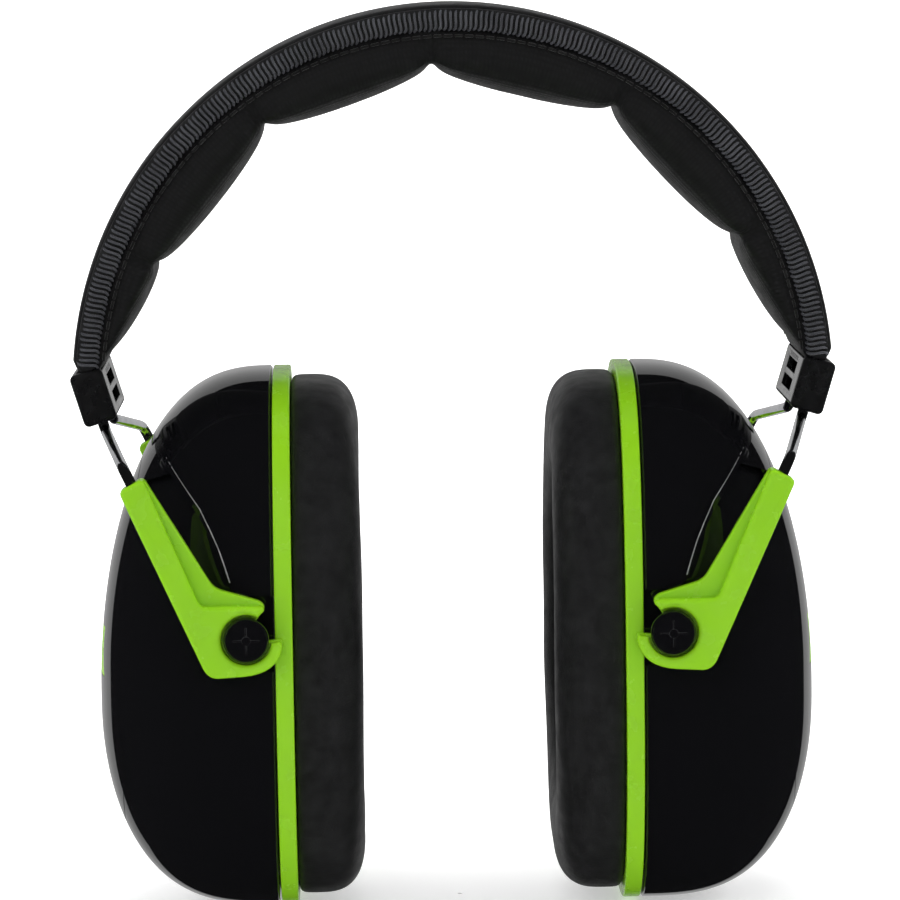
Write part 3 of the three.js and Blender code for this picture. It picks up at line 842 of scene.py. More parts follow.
@dataclass
class Headband:
    """Padded headband: cover, stiffener strip, bound edges, pad, spring wires and buckles. Millimetres."""

    palette: Palette
    centre: float = 106.9  # height of the arc's centre above the cups' lowest point
    radius: float = 77.1
    end_deg: float = 84.5
    half_width: float = 20.0
    wire_radius_mm: float = 1.1
    wire_arc: float = 74.15
    wire_y: float = 13.5
    seams_deg: tuple = (-84.5, -67, -35, -3, 31, 63.5, 84.5)
    buckle_x: float = 72.6
    buckle_height: float = 105.9
    buckle_tilt: float = math.radians(17)
    buckle_length: float = 10.9
    buckle_thickness: float = 6.8
    buckle_depth: float = 37.0
    pivot_x: float = 42.1
    pivot_height: float = 60.0
    arm_top: tuple = (22.0, 31.05)
    arm_direction: tuple = (-0.4283, -0.9036)
    arm_y: float = 43.4

    def arc(self, deg: float, radius: float, y: float) -> Vector:
        """Point on the band's arc, at an angle from the crown."""
        a = math.radians(deg)
        return place_mm(radius * math.sin(a), y, self.centre + radius * math.cos(a))

    def tucked(self, deg: float, radius: float, y: float) -> Vector:
        """Point of the band's soft layers, which narrow where they enter the buckles."""
        share = smoothstep(85.2, 87.6, abs(deg))
        thin = self.wire_arc + max(-1.6, min(1.7, (radius - self.wire_arc) * 0.4))
        return self.arc(deg, lerp(radius, thin, share), y * lerp(1.0, 0.84, share))

    def band_loft(self, name: str, section_at: Callable[[float], Section], count: int,
                  end: float = 88.2) -> bpy.types.Mesh:
        """Loft a section along the band."""
        rings = [[self.tucked(deg, r, y) for r, y in section_at(deg)]
                 for deg in (lerp(-end, end, t) for t in steps(count))]
        return loft_mesh(name, rings)

    def cover(self) -> bpy.types.Object:
        """Outer cover, slightly domed across its width."""
        edge = self.half_width - 1.7

        def section(_: float) -> Section:
            """Cover's section: crowned top and flat underside."""
            top = [(self.radius - 0.55 * abs(t) ** 4 - (0.35 if abs(t) > 0.97 else 0.0), t * edge)
                   for t in (lerp(-1, 1, s) for s in steps(20))]
            under = [(self.radius - 2.1, edge * 0.98), (self.radius - 2.1, -edge * 0.98)]
            return top + under

        obj = link("band_cover_visual", self.band_loft("band_cover_visual", section, 176), self.palette.cover)
        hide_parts("band_cover")
        return obj

    def binding_base(self, end: End) -> bpy.types.Object:
        """Folded edge that the overlock thread wraps."""
        sign = end.value

        def section(_: float) -> Section:
            """Rounded strip standing just under the thread."""
            middle = self.radius - 3.2
            return [(middle + 2.1 * math.sin(a), sign * (self.half_width - 1.35 + 0.75 * math.cos(a)))
                    for a in (2 * math.pi * k / 16 for k in range(16))]

        name = f"{end.word}_binding_tape"
        obj = link(name, self.band_loft(name, section, 150), self.palette.cover)
        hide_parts(f"{end.word}_binding")
        return obj

    def overlock(self, end: End) -> bpy.types.Object:
        """Close loops of thread wrapped over the bound edge."""
        sign = end.value
        loops = ThreadLoops(
            start=Vector((0.5, -sign * 1.2, -1.4)) * MM, start_pull=Vector((-0.75, sign * 0.75, -1.7)) * MM,
            end_pull=Vector((0.75, sign * 0.75, -5.2)) * MM, end=Vector((-0.35, -sign * 0.9, -5.4)) * MM,
            thickness=0.27 * MM, unevenness=0.035, seed=11 + sign)
        pitch = 1.02
        count = int(math.radians(2 * 85.6) * (self.radius - 3) / pitch)
        path = [self.arc(lerp(-85.6, 85.6, t), self.radius, sign * (self.half_width - 0.55))
                for t in steps(count)]
        centre_z = FLOOR_Z + self.centre * MM
        return loops.build(f"{end.word}_overlock_thread", path, centre_z, self.palette.thread)

    def seam(self, end: End) -> bpy.types.Object:
        """Row of small stitches just inside the bound edge."""
        sign = end.value
        stitches = ThreadLoops(
            start=Vector((-0.75, 0.0, 0.0)) * MM, start_pull=Vector((-0.4, sign * 0.4, 0.0)) * MM,
            end_pull=Vector((0.4, sign * 0.4, 0.0)) * MM, end=Vector((0.75, 0.0, 0.0)) * MM,
            thickness=0.3 * MM, unevenness=0.07, seed=23 + sign)
        radius = self.radius - 6.6
        count = int(math.radians(2 * 84) * radius / 2.1)
        path = [self.arc(lerp(-84, 84, t), radius, sign * (self.half_width - 0.95)) for t in steps(count)]
        centre_z = FLOOR_Z + self.centre * MM
        return stitches.build(f"{end.word}_seam_stitches", path, centre_z, self.palette.seam)

    def pad_depth(self, deg: float, fullness: float) -> float:
        """Depth of the pad's inner face, pinched at each sewn channel."""
        seams = self.seams_deg
        index = max(1, next((i for i, seam in enumerate(seams) if seam > deg), len(seams) - 1))
        low, high = seams[index - 1], seams[index]
        share = min(1.0, max(0.0, (deg - low) / (high - low)))
        at_end = [abs(seam) == self.end_deg for seam in (low, high)]
        depths = [6.9 if end else 12.8 for end in at_end]
        swell = fullness * (0.63 if any(at_end) else 1.0)
        return lerp(depths[0], depths[1], share) + swell * math.sin(math.pi * share) ** 0.6

    def pad(self) -> bpy.types.Object:
        """Soft pad in six stuffed segments between sewn channels."""
        top = self.radius - 4.3
        across = 34
        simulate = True
        fullness = 2.4 if simulate else 3.9

        def section(deg: float) -> Section:
            """Closed section: flat top, rounded sides and belly."""
            inner = self.radius - self.pad_depth(deg, fullness)
            half_height = (top - inner) / 2
            middle = (top + inner) / 2
            points = []
            for k in range(across):
                a = 2 * math.pi * k / across
                squareness = 0.52 if math.sin(a) < 0 else 0.3
                r = middle + half_height * math.copysign(abs(math.sin(a)) ** squareness, math.sin(a))
                y = 19.1 * math.copysign(abs(math.cos(a)) ** 0.5, math.cos(a))
                if r > self.radius - 5.8:
                    y = max(-18.0, min(18.0, y))
                points.append((r, y))
            return points

        mesh = self.band_loft("headband_pad_visual", section, 260, end=87.6)
        obj = link("headband_pad_visual", mesh, self.palette.pad)
        if simulate:
            Stuffing(pressure=3.0, frames=16, limit=2.4 * MM).swell(obj, self.pad_held)
        self.sew_channels(obj)
        subdivided(obj)
        self.unroll(obj)
        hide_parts("headband_pad")
        return obj

    def polar(self, point: Vector) -> tuple[float, float]:
        """Angle from the crown in degrees and radius in millimetres of a point on the band."""
        x, z = point.x / MM, (point.z - FLOOR_Z) / MM - self.centre
        return math.degrees(math.atan2(x, z)), math.hypot(x, z)

    def pad_held(self, point: Vector) -> float:
        """Share by which the sewing holds a point of the pad."""
        deg, radius = self.polar(point)
        near = min(abs(deg - seam) for seam in self.seams_deg)
        channel = 1.0 - smoothstep(0.5, 2.2, near)
        bound = smoothstep(self.radius - 6.4, self.radius - 5.2, radius)
        tail = smoothstep(84.0, 85.0, abs(deg))
        return max(channel, bound, tail)

    def sew_channels(self, obj: bpy.types.Object) -> None:
        """Press a narrow groove into the pad along each channel and pucker the cloth beside it."""
        dice = random.Random(5)
        folds = [(dice.uniform(0, math.tau), dice.uniform(7, 11)) for _ in self.seams_deg]
        for v in obj.data.vertices:
            deg, radius = self.polar(v.co)
            if radius > self.radius - 6.3 or abs(deg) > 83:
                continue
            side = smoothstep(13 * MM, 18 * MM, abs(v.co.y)) * smoothstep(6.3, 7.6, self.radius - radius)
            for seam, (phase, waves) in zip(self.seams_deg[1:-1], folds):
                gap = deg - seam
                if abs(gap) > 7:
                    continue
                groove = math.exp(-((gap / 0.75) ** 2))
                pucker = 0.16 * math.sin(waves * v.co.y / (6 * MM) + phase) * math.exp(-((gap / 2.6) ** 2))
                away = Vector((math.sin(math.radians(deg)), 0, math.cos(math.radians(deg))))
                v.co += away * (0.9 * groove + pucker) * (1 - side) * MM
                pinch = side * (1.3 * groove + 0.6 * math.exp(-((gap / 2.4) ** 2)))
                v.co.y -= math.copysign(pinch, v.co.y) * MM
        obj.data.update()

    def unroll(self, obj: bpy.types.Object) -> None:
        """Give the pad a UV map in metres along and round the band."""
        layer = obj.data.uv_layers.new(name="band")
        for loop in obj.data.loops:
            co = obj.data.vertices[loop.vertex_index].co
            deg, radius = self.polar(co)
            layer.data[loop.index].uv = (math.radians(deg) * 66 * MM, co.y + (radius - 66) * MM * 0.8)

    def wire_path(self, end: End) -> list[Vector]:
        """Centre line of one spring wire, from the left arm over the head to the right arm."""
        down = Vector((-math.sin(self.buckle_tilt), 0, -math.cos(self.buckle_tilt)))
        along = Vector((self.arm_direction[0], 0, self.arm_direction[1])).normalized()
        top = place_mm(self.pivot_x + self.arm_top[0], end.value * self.arm_y,
                       self.pivot_height + self.arm_top[1])
        buckle = place_mm(self.buckle_x, end.value * self.wire_y, self.buckle_height)
        half = self.buckle_length / 2
        start = self.arc(self.end_deg - 1, self.wire_arc, end.value * self.wire_y)
        corners = [start, buckle - down * half * MM, buckle + down * (half + 2.2) * MM,
                   top - along * 3.2 * MM, top + along * 32 * MM]
        leg = [corners[0]]
        for i, bend in zip(range(1, 4), (8, 2.4, 3.5)):
            into = (corners[i] - corners[i - 1]).normalized()
            out = (corners[i + 1] - corners[i]).normalized()
            reach = bend * MM * math.tan(into.angle(out) / 2)
            a, b = corners[i] - into * reach, corners[i] + out * reach
            leg += [a * (1 - t) ** 2 + corners[i] * 2 * t * (1 - t) + b * t * t for t in steps(12)]
        leg.append(corners[-1])
        arc = [self.arc(lerp(-80, 80, t), self.wire_arc, end.value * self.wire_y) for t in steps(80)]
        other = [Vector((-p.x, p.y, p.z)) for p in reversed(leg)]
        return other + arc + leg

    def wire(self, end: End) -> bpy.types.Object:
        """One polished spring wire."""
        name = f"{end.word}_wire_visual"
        obj = link(name, tube_mesh(name, self.wire_path(end), self.wire_radius_mm * MM), self.palette.wire)
        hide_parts(f"{end.word}_wire")
        return obj

    def buckle_frame(self, side: Side) -> Matrix:
        """Placement of the right-hand buckle's own frame, mirrored for the left."""
        turn = Matrix.Rotation(self.buckle_tilt, 4, "Y")
        return Matrix.Diagonal((side.value, 1, 1, 1)) @ Matrix.Translation(
            place_mm(self.buckle_x, 0, self.buckle_height)) @ turn @ Matrix.Scale(MM, 4)

    def buckle_tray(self, side: Side) -> bpy.types.Object:
        """Moulded tray of a buckle, open towards the head and at its top."""
        length, thick, depth = self.buckle_length, self.buckle_thickness, self.buckle_depth
        corner = (thick / 2, depth / 2, length / 2)
        body = block(f"{side.word}_buckle_visual", tuple(-half for half in corner), corner)
        soften(body, 1.1, 5)
        pocket = block("pocket", (-thick / 2 - 1, -17.3, -5.0), (-thick / 2 + 1.5, 17.3, 5.0))
        hollow = block("hollow", (-thick / 2 + 1.3, -16.6, -length / 2 + 1.4),
                       (thick / 2 - 1.4, 16.6, length / 2 + 1))
        holes = [rod("hole", Vector((0, y, -9)), Vector((0, y, 0)), self.wire_radius_mm + 0.3)
                 for y in (-self.wire_y, self.wire_y)]
        combine(body, "DIFFERENCE", pocket, hollow, *holes)
        # Bevelled edges get a lighter grey as a painted highlight.
        soften(body, 0.18, 2, 40, (self.palette.buckle, self.palette.buckle_edge))
        self.seat_buckle(body, side, "buckle", self.palette.buckle)
        return body

    def buckle_lid(self, side: Side) -> bpy.types.Object:
        """Slotted lid on the buckle's face towards the head, with a row of small teeth."""
        x = -self.buckle_thickness / 2
        lid = block(f"{side.word}_buckle_lid_visual", (x, -17, -4.7), (x + 1.2, 17, 4.7))
        soften(lid, 0.3, 3)
        slots = [block("slot", (x - 1, -9, z - 1.2), (x + 2, 9, z + 1.2)) for z in (-1.8, 1.8)]
        grooves = [block("groove", (x - 1, y - 0.22, 3.35), (x + 0.35, y + 0.22, 4.1))
                   for y in (lerp(-7.5, 7.5, t) for t in steps(10))]
        combine(lid, "DIFFERENCE", *slots, *grooves)
        soften(lid, 0.12, 2, 40)
        self.seat_buckle(lid, side, "buckle_lid", self.palette.lid)
        return lid

    def seat_buckle(self, obj: bpy.types.Object, side: Side, node: str, material: bpy.types.Material) -> None:
        """Move a buckle piece to its place and dress it."""
        obj.data.transform(self.buckle_frame(side))
        if side is Side.LEFT:
            obj.data.flip_normals()
        if len(obj.data.materials) < 2:
            obj.data.materials.clear()
            obj.data.materials.append(material)
        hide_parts(f"{side.word}_{node}")

    def strip(self) -> None:
        """Dress the stiffener strip, which stays as the CAD node."""
        node = frame["nodes"]["band_strip"]
        node.data.materials.clear()
        node.data.materials.append(self.palette.plate)

    def build(self) -> None:
        """Build the whole headband and let it ride on its body."""
        self.strip()
        pieces = [self.cover(), self.pad()]
        for end in End:
            base = self.binding_base(end)
            loops = self.overlock(end)
            stitches = self.seam(end)
            pieces += [base, loops, stitches, self.wire(end)]
        for side in Side:
            pieces += [self.buckle_tray(side), self.buckle_lid(side)]
        for obj in pieces:
            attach(obj, "headband")
            LOG.info("headband: %s, %d faces", obj.name, len(obj.data.polygons))


# ---------- arms ----------


@dataclass
class Yoke:
    """The two lime arms of one side, which slide on the wires and hold the cup's pivots. Millimetres."""

    side: Side
    palette: Palette
    inner: float = 40.9
    step: float = 43.4
    outer: float = 45.9
    hook_bore: float = 3.85
    head_bore: float = 4.95
    arm_top: tuple = (22.0, 31.05)
    direction: tuple = (-0.4283, -0.9036)

    def outline(self, bore: float, raised: bool) -> Outline:
        """Arm's outline from the pivot, X outwards and Y up; the hook opens towards the trim ring."""
        beak = math.atan2(4.2, -2.2)
        tip = math.atan2(-0.77, -4.83)
        shape = Outline([Vector((24, 28.75))]).curve((24.4, 29.85), (23.4, 30.35)).line((20.7, 31.85))
        if raised:
            shape.curve((19.7, 32.35), (19.3, 31.45)).line((9.4, 7.9))
            shape.curve((8.9, 6.7), (7.6, 6.7)).line((-2, 6.7))
        else:
            shape.curve((19.8, 32.35), (19.2, 31.55)).line((7, 11.4))
            shape.curve((6.2, 10.1), (4.6, 9.6)).line((-2.4, 7.5))
        shape.curve((-3.9, 6.8), (-3.6, 5.7)).arc(bore, beak, tip)
        shape.line((-6.6, -0.4)).curve((-7.2, -0.6), (-7.1, -1.7)).curve((-6, -6.8), (0.5, -7.3))
        return shape.line((5.6, -7.6)).curve((7.6, -7.6), (8.6, -5.6))

    def arm(self, end: End) -> bpy.types.Object:
        """One arm: web and hook plate, raised rib, and the bore for the wire."""
        name = f"{self.side.word}_{end.word}_arm_visual"
        web = plate_object(name, self.outline(self.hook_bore, False), self.inner, self.step, 0.3)
        rib = plate_object("rib", self.outline(self.head_bore, True), self.step - 1.2, self.outer, 0.95)
        combine(web, "UNION", rib)
        along = Vector((self.direction[0], 0, self.direction[1])).normalized()
        top = Vector((self.arm_top[0], -(self.inner + self.outer) / 2, self.arm_top[1]))
        combine(web, "DIFFERENCE", rod("bore", (top - along) * MM, (top + along * 33.5) * MM, 1.4 * MM))
        # Bevelled edges get a lighter lime as a painted highlight.
        soften(web, 0.2 * MM, 2, 35, (self.palette.lime, self.palette.lime_edge))
        pivot = Vector(JOINTS[f"{self.side.word}_tilt"]["pos_m"])
        mirrored(web.data, self.side.value, -end.value)
        web.data.transform(Matrix.Translation(pivot))
        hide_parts(f"{self.side.word}_{end.word}_arm")
        return web

    def build(self) -> None:
        """Build both arms and let them ride on the yoke's body."""
        for end in End:
            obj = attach(self.arm(end), f"{self.side.word}_yoke")
            LOG.info("yoke: %s, %d faces", obj.name, len(obj.data.polygons))


# ---------- ear cups ----------


@dataclass
class EarCup:
    """One ear cup with its trim ring, cushion, foam, accent and pivots. Millimetres, right side first."""

    side: Side
    palette: Palette
    centre: float = 55.0
    half_height: float = 55.0
    half_depth: float = 40.5
    roundness: float = 2.7
    ring: tuple = (33.05, 36.55)
    ring_wall: float = 4.0
    base: float = 36.85
    height: float = 36.35
    crest: float = 42.0
    recess_y: float = 38.5
    recess_edge: tuple = ((42.0, 67.7), (44.0, 68.2), (45.3, 69.5), (46.4, 72.4), (47.6, 76), (49.2, 79.8),
                          (51.2, 83.5), (54.6, 88.4))  # along the arm, in x and height
    pivot_x: float = 42.1
    pivot_height: float = 60.0
    back: float = 32.75
    face: float = 19.3
    cushion_half: tuple = (38.6, 53.0)
    opening_half: tuple = (20.0, 31.0)

    def oval(self, share: float, half_depth: float, half_height: float) -> tuple[float, float]:
        """Point on an oval of the cup's outline as Y and height; shares 0 to 1 go once round."""
        a = 2 * math.pi * share
        bend = 2 / self.roundness
        y = half_depth * math.copysign(abs(math.cos(a)) ** bend, math.cos(a))
        z = half_height * math.copysign(abs(math.sin(a)) ** bend, math.sin(a))
        return y, self.centre + z

    def even_shares(self, count: int) -> list[float]:
        """Shares round the oval that space its points evenly."""
        fine = [k / 2000 for k in range(2001)]
        places = [self.oval(s, self.half_depth, self.half_height) for s in fine]
        lengths = [0.0]
        for a, b in zip(places, places[1:]):
            lengths.append(lengths[-1] + math.dist(a, b))
        shares, i = [], 0
        for k in range(count):
            target = lengths[-1] * k / count
            while lengths[i + 1] < target:
                i += 1
            shares.append(lerp(fine[i], fine[i + 1], (target - lengths[i]) / (lengths[i + 1] - lengths[i])))
        return shares

    def place(self, x: float, y: float, height: float) -> Vector:
        """Point of the right cup in metres."""
        return place_mm(x, y, height)

    def frame_mesh(self, name: str, profile: Section, size: tuple, opening: tuple,
                   count: int = 200) -> bpy.types.Mesh:
        """Oval frame from a section of shares (0 at the opening, 1 at the edge) and X places."""
        rings = []
        for share in self.even_shares(count):
            inner, outer = self.oval(share, *opening), self.oval(share, *size)
            rings.append([self.place(x, lerp(inner[0], outer[0], t), lerp(inner[1], outer[1], t))
                          for t, x in profile])
        return loft_mesh(name, rings, closed=True)

    def dome_rings(self, base: float, height: float, half_depth: float, half_height: float,
                   count: int, shares: Sequence[float]) -> list[Ring]:
        """Rings of a dome from its rim to its crest."""
        rings = []
        for t in steps(count):
            shrink = math.cos(math.radians(88.5) * t)
            ring = []
            for share in shares:
                y, z = self.oval(share, half_depth, half_height)
                fullness = 2.8 - 0.2 * (z - self.centre) / half_height
                rise = max(0.0, 1 - shrink**2) ** (1 / fullness)
                ring.append(self.place(base + height * rise, y * shrink,
                                       self.crest + (z - self.crest) * shrink))
            rings.append(ring)
        return rings

    def dome_solid(self, name: str, inset: float = 0.0) -> bpy.types.Object:
        """Filled outer dome, used to cut the accent."""
        rings = self.dome_rings(self.base - inset, self.height, self.half_depth, self.half_height, 56,
                                self.even_shares(200))
        obj = bpy.data.objects.new(name, loft_mesh(name, rings))
        bpy.context.scene.collection.objects.link(obj)
        return obj

    def prism(self, name: str, outline: Outline, low: float, high: float) -> bpy.types.Object:
        """Straight prism along X from an outline in Y and height."""
        rings = [[self.place(x, p.x, p.y) for p in outline.points] for x in (low, high)]
        obj = bpy.data.objects.new(name, loft_mesh(name, rings))
        bpy.context.scene.collection.objects.link(obj)
        return obj

    def accent_outline(self, margin: float) -> Outline:
        """Plain bar with hollow ends."""
        y, low, high = 12.5 + margin, 48.5 - margin, 58.5 + margin
        shape = Outline([Vector((-y, low))]).line((y, low)).curve((y - 2.2, 53.5), (y, high), 14)
        return shape.line((-y, high)).curve((-y + 2.2, 53.5), (-y, low + 0.001), 14)

    def recess_tool(self, end: End) -> bpy.types.Object:
        """Block for the flat sunk into a flank, level with the pivot and widening up along the arm."""
        corners = [(30, 67.5), *self.recess_edge, (58, 93), (80, 93), (80, 52.8), (30, 52.8)]
        draft = [(x - 1.6, z + 1.9) for x, z in corners[:-2]] + corners[-2:]
        rings = [[self.place(x, end.value * y, z) for x, z in outline]
                 for outline, y in ((corners, self.recess_y), (draft, self.recess_y + 9))]
        obj = bpy.data.objects.new("recess", loft_mesh("recess", rings))
        bpy.context.scene.collection.objects.link(obj)
        return obj

    def recess_step(self, end: End) -> bpy.types.Object:
        """Cutter for the shallow step that follows the arm's inner edge where the flat has run out."""
        depth = 0.9
        x, z = self.pivot_x, self.pivot_height
        edge = [*self.recess_edge, (57, 91.5), (x + 21, z + 29), (x + 5, z - 4), (x, z - 4)]
        rings = [[self.place(px, end.value * y, pz) for px, pz in edge] for y in (18, 48)]
        obj = bpy.data.objects.new("step", loft_mesh("step", rings))
        bpy.context.scene.collection.objects.link(obj)
        floor_rings = self.dome_rings(self.base - 1, self.height, self.half_depth - depth,
                                      self.half_height - depth, 56, self.even_shares(200))
        floor = bpy.data.objects.new("floor", loft_mesh("floor", floor_rings))
        bpy.context.scene.collection.objects.link(floor)
        return combine(obj, "DIFFERENCE", floor)

    def recess_rim(self, end: End) -> bpy.types.Object:
        """Fine light-grey tube on the dome along the arm's inner edge, where the step begins: a painted
        highlight standing in for the edge's reflection.
        """
        name = f"{self.side.word}_{end.word}_recess_rim_visual"
        edge = [(57.8, 94.2), (54.4, 89.6), (51.0, 85.0), (49.0, 81.0), (47.4, 77.4), (46.1, 73.6),
                (45.0, 70.0)]
        dome = self.dome_solid("rim_guide")
        bpy.context.view_layer.update()
        inward = Vector((0, -end.value, 0))
        path = []
        for first, last in zip(edge, edge[1:]):
            for t in steps(5)[:-1]:
                start = self.place(lerp(first[0], last[0], t), end.value * 60, lerp(first[1], last[1], t))
                hit, spot, _, _ = dome.ray_cast(start, inward)
                if hit:
                    path.append(spot + inward * 0.05 * MM)
        remove(dome)
        # The tube's light grey is a painted highlight.
        obj = link(name, tube_mesh(name, path, 0.16 * MM, 12), self.palette.rim)
        mirrored(obj.data, self.side.value, 1)
        return obj

    def panel_groove(self) -> bpy.types.Object:
        """Cutter for the fine joint line round the dome's outer panel."""
        profile = [(0, 45), (0, 90), (1, 90), (1, 45)]
        size, opening = (25.3, 38.3), (25.0, 38.0)
        obj = bpy.data.objects.new("joint", self.frame_mesh("joint", profile, size, opening))
        bpy.context.scene.collection.objects.link(obj)
        return combine(obj, "DIFFERENCE", self.dome_solid("floor", 0.35))

    def shell(self) -> bpy.types.Object:
        """Gloss black dome with its hollow, sunk flanks, pivot holes and accent pocket."""
        name = f"{self.side.word}_cup_shell_visual"
        shares = self.even_shares(220)
        outer = self.dome_rings(self.base + 0.35, self.height - 0.35, self.half_depth, self.half_height,
                                60, shares)
        lip = [[Vector((p.x - 0.35 * MM, p.y * 0.9915, lerp(FLOOR_Z + self.centre * MM, p.z, 0.993)))
                for p in outer[0]]]
        inner = self.dome_rings(self.base, self.height - 3, self.half_depth - 4.5, self.half_height - 3,
                                24, shares)
        obj = link(name, loft_mesh(name, [*reversed(outer), *lip, *inner]), self.palette.shell)
        pocket = combine(self.prism("pocket", self.accent_outline(0.12), 50, 90), "DIFFERENCE",
                         self.dome_solid("floor", 1.6))
        hole = rod("hole", self.place(self.pivot_x, -45, self.pivot_height),
                   self.place(self.pivot_x, 45, self.pivot_height), 2.9 * MM)
        combine(obj, "DIFFERENCE", pocket, self.panel_groove(), *[self.recess_tool(end) for end in End],
                *[self.recess_step(end) for end in End], hole)
        # Bevelled edges get a lighter grey as a painted highlight.
        soften(obj, 0.28 * MM, 3, 22, (self.palette.shell, self.palette.shell_edge))
        return self.dress(obj, "cup_shell", self.palette.shell)

    def accent(self) -> bpy.types.Object:
        """Lime bar let flush into the outer face."""
        name = f"{self.side.word}_accent_visual"
        obj = self.prism(name, self.accent_outline(0.0), 50, 90)
        combine(obj, "INTERSECT", self.dome_solid("outside", 0.02))
        combine(obj, "DIFFERENCE", self.dome_solid("inside", 1.3))
        soften(obj, 0.12 * MM, 2, 40)
        return self.dress(obj, "accent_inlay", self.palette.lime)

    def trim_ring(self) -> bpy.types.Object:
        """Lime ring between dome and cushion, with rounded edges."""
        low, high = self.ring
        corner = 0.09  # share of the ring's wall taken by each rounded edge
        profile = []
        for t0, x0, start in ((1 - corner, low + 0.4, -90), (1 - corner, high - 0.4, 0),
                              (corner, high - 0.4, 90), (corner, low + 0.4, 180)):
            for k in range(5):
                a = math.radians(start + 90 * k / 4)
                profile.append((t0 + corner * math.cos(a), x0 + 0.4 * math.sin(a)))
        size = (self.half_depth, self.half_height)
        opening = tuple(half - self.ring_wall for half in size)
        name = f"{self.side.word}_trim_ring_visual"
        obj = link(name, self.frame_mesh(name, profile, size, opening), self.palette.lime)
        return self.dress(obj, "trim_ring", self.palette.lime)

    def seal_plate(self) -> bpy.types.Object:
        """Black plate behind the cushion."""
        size = (self.half_depth - self.ring_wall - 0.3, self.half_height - self.ring_wall - 0.3)
        profile = [(0, 33.25), (0.02, 33.05), (0.98, 33.05), (1, 33.25), (1, 34.85), (0.98, 35.05),
                   (0.02, 35.05), (0, 34.85)]
        name = f"{self.side.word}_seal_plate_visual"
        obj = link(name, self.frame_mesh(name, profile, size, (22.5, 34)), self.palette.plate)
        return self.dress(obj, "seal_plate", self.palette.plate)

    def foam(self) -> bpy.types.Object:
        """Acoustic foam that lines the dome, with a hollow for the ear."""
        name = f"{self.side.word}_cavity_foam_visual"
        shares = self.even_shares(110)
        outer = self.dome_rings(37.3, 31.3, 35.2, 51.2, 16, shares)
        inner = self.dome_rings(37.3, 22, 26, 39, 22, shares)
        dice = random.Random(8 + self.side.value)
        for ring in inner:
            for p in ring:
                p += Vector([dice.uniform(-0.12, 0.12) for _ in range(3)]) * MM
        obj = link(name, loft_mesh(name, [*reversed(outer), *inner]), self.palette.foam)
        return self.dress(obj, "cavity_foam", self.palette.foam)

    def cushion_profile(self) -> Section:
        """Cushion's section from shares (0 at the ear opening, 1 at the edge) and X places."""
        depth = self.back - self.face
        points = []
        for k in range(48):
            a = 2 * math.pi * k / 48
            out = math.sin(a) > 0
            t = 0.5 - 0.5 * math.copysign(abs(math.cos(a)) ** (0.72 if out else 0.12), math.cos(a))
            rise = 0.36 + (0.64 * math.sin(a) ** 0.8 if out else -0.36 * (-math.sin(a)) ** 0.3)
            points.append((t, self.back + 0.25 - rise * depth))
        return points

    def cushion_held(self, point: Vector) -> float:
        """Share by which the back of the cushion is held by its plate."""
        x = abs(point.x) / MM
        return smoothstep(self.back - 2.6, self.back - 0.6, x)

    def cushion(self) -> bpy.types.Object:
        """Foam-filled sealing cushion in black vinyl."""
        name = f"{self.side.word}_cushion_visual"
        mesh = self.frame_mesh(name, self.cushion_profile(), self.cushion_half, self.opening_half, 150)
        obj = link(name, mesh, self.palette.cushion)
        Stuffing(pressure=2.0, frames=14, limit=0.9 * MM).swell(obj, self.cushion_held)
        self.settle(obj)
        subdivided(obj)
        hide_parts(f"{self.side.word}_cushion_foam")
        return self.dress(obj, "cushion_skin", self.palette.cushion)

    def settle(self, obj: bpy.types.Object) -> None:
        """Add the soft creases of a stretched vinyl skin and keep it clear of the plate."""
        dice = random.Random(17 + self.side.value)
        waves = [(dice.randint(5, 14), dice.uniform(0, math.tau), dice.uniform(0.03, 0.07)) for _ in range(6)]
        for v in obj.data.vertices:
            y, z = v.co.y / MM, (v.co.z - FLOOR_Z) / MM - self.centre
            around = math.atan2(z / 53, y / 38.6)
            share = smoothstep(self.back - 9, self.face, v.co.x / MM)
            ripple = sum(size * math.sin(count * around + phase) for count, phase, size in waves)
            v.co.x += ripple * share * 0.5 * MM
            v.co.x = min(v.co.x, (self.back + 0.25) * MM)
        obj.data.update()

    def pivot(self, end: End) -> bpy.types.Object:
        """Pivot post with a round dished head and a faint moulded cross."""
        name = f"{self.side.word}_{end.word}_pivot_visual"
        foot = self.recess_y + 0.3
        profile = [(0.001, foot - 2.2), (2.3, foot - 2.2), (2.6, foot - 1.9), (2.6, foot), (3.5, foot),
                   (3.5, 43.7), (4.3, 43.7), (4.45, 43.8), (4.52, 44.0), (4.52, 45.6), (4.48, 45.9),
                   (4.35, 46.2), (4.1, 46.55), (3.85, 46.8), (3.7, 46.88), (3.5, 46.9), (3.3, 46.86),
                   (3.1, 46.74), (2.9, 46.68), (0.001, 46.64)]
        mesh = lathe_mesh(name, [(r * MM, h * MM) for r, h in profile], 96)
        obj = link(name, mesh, self.palette.shell)
        bars = [block("bar", (-2.6 * MM, -0.16 * MM, 46.5 * MM), (2.6 * MM, 0.16 * MM, 46.78 * MM))
                for _ in range(2)]
        bars[1].data.transform(Matrix.Rotation(math.pi / 2, 4, "Z"))
        hub = rod("hub", Vector((0, 0, 46.5 * MM)), Vector((0, 0, 46.8 * MM)), 0.9 * MM, 40)
        combine(obj, "UNION", *bars, hub)
        # Bevelled edges get a lighter grey as a painted highlight.
        soften(obj, 0.07 * MM, 2, 40, (self.palette.shell, self.palette.shell_edge))
        obj.data.transform(Matrix.Rotation(math.pi / 2, 4, "X"))
        if end is End.REAR:
            mirrored(obj.data, 1, -1)
        obj.data.transform(Matrix.Translation(self.place(self.pivot_x, 0, self.pivot_height)))
        return self.dress(obj, f"{end.word}_pivot", self.palette.shell)

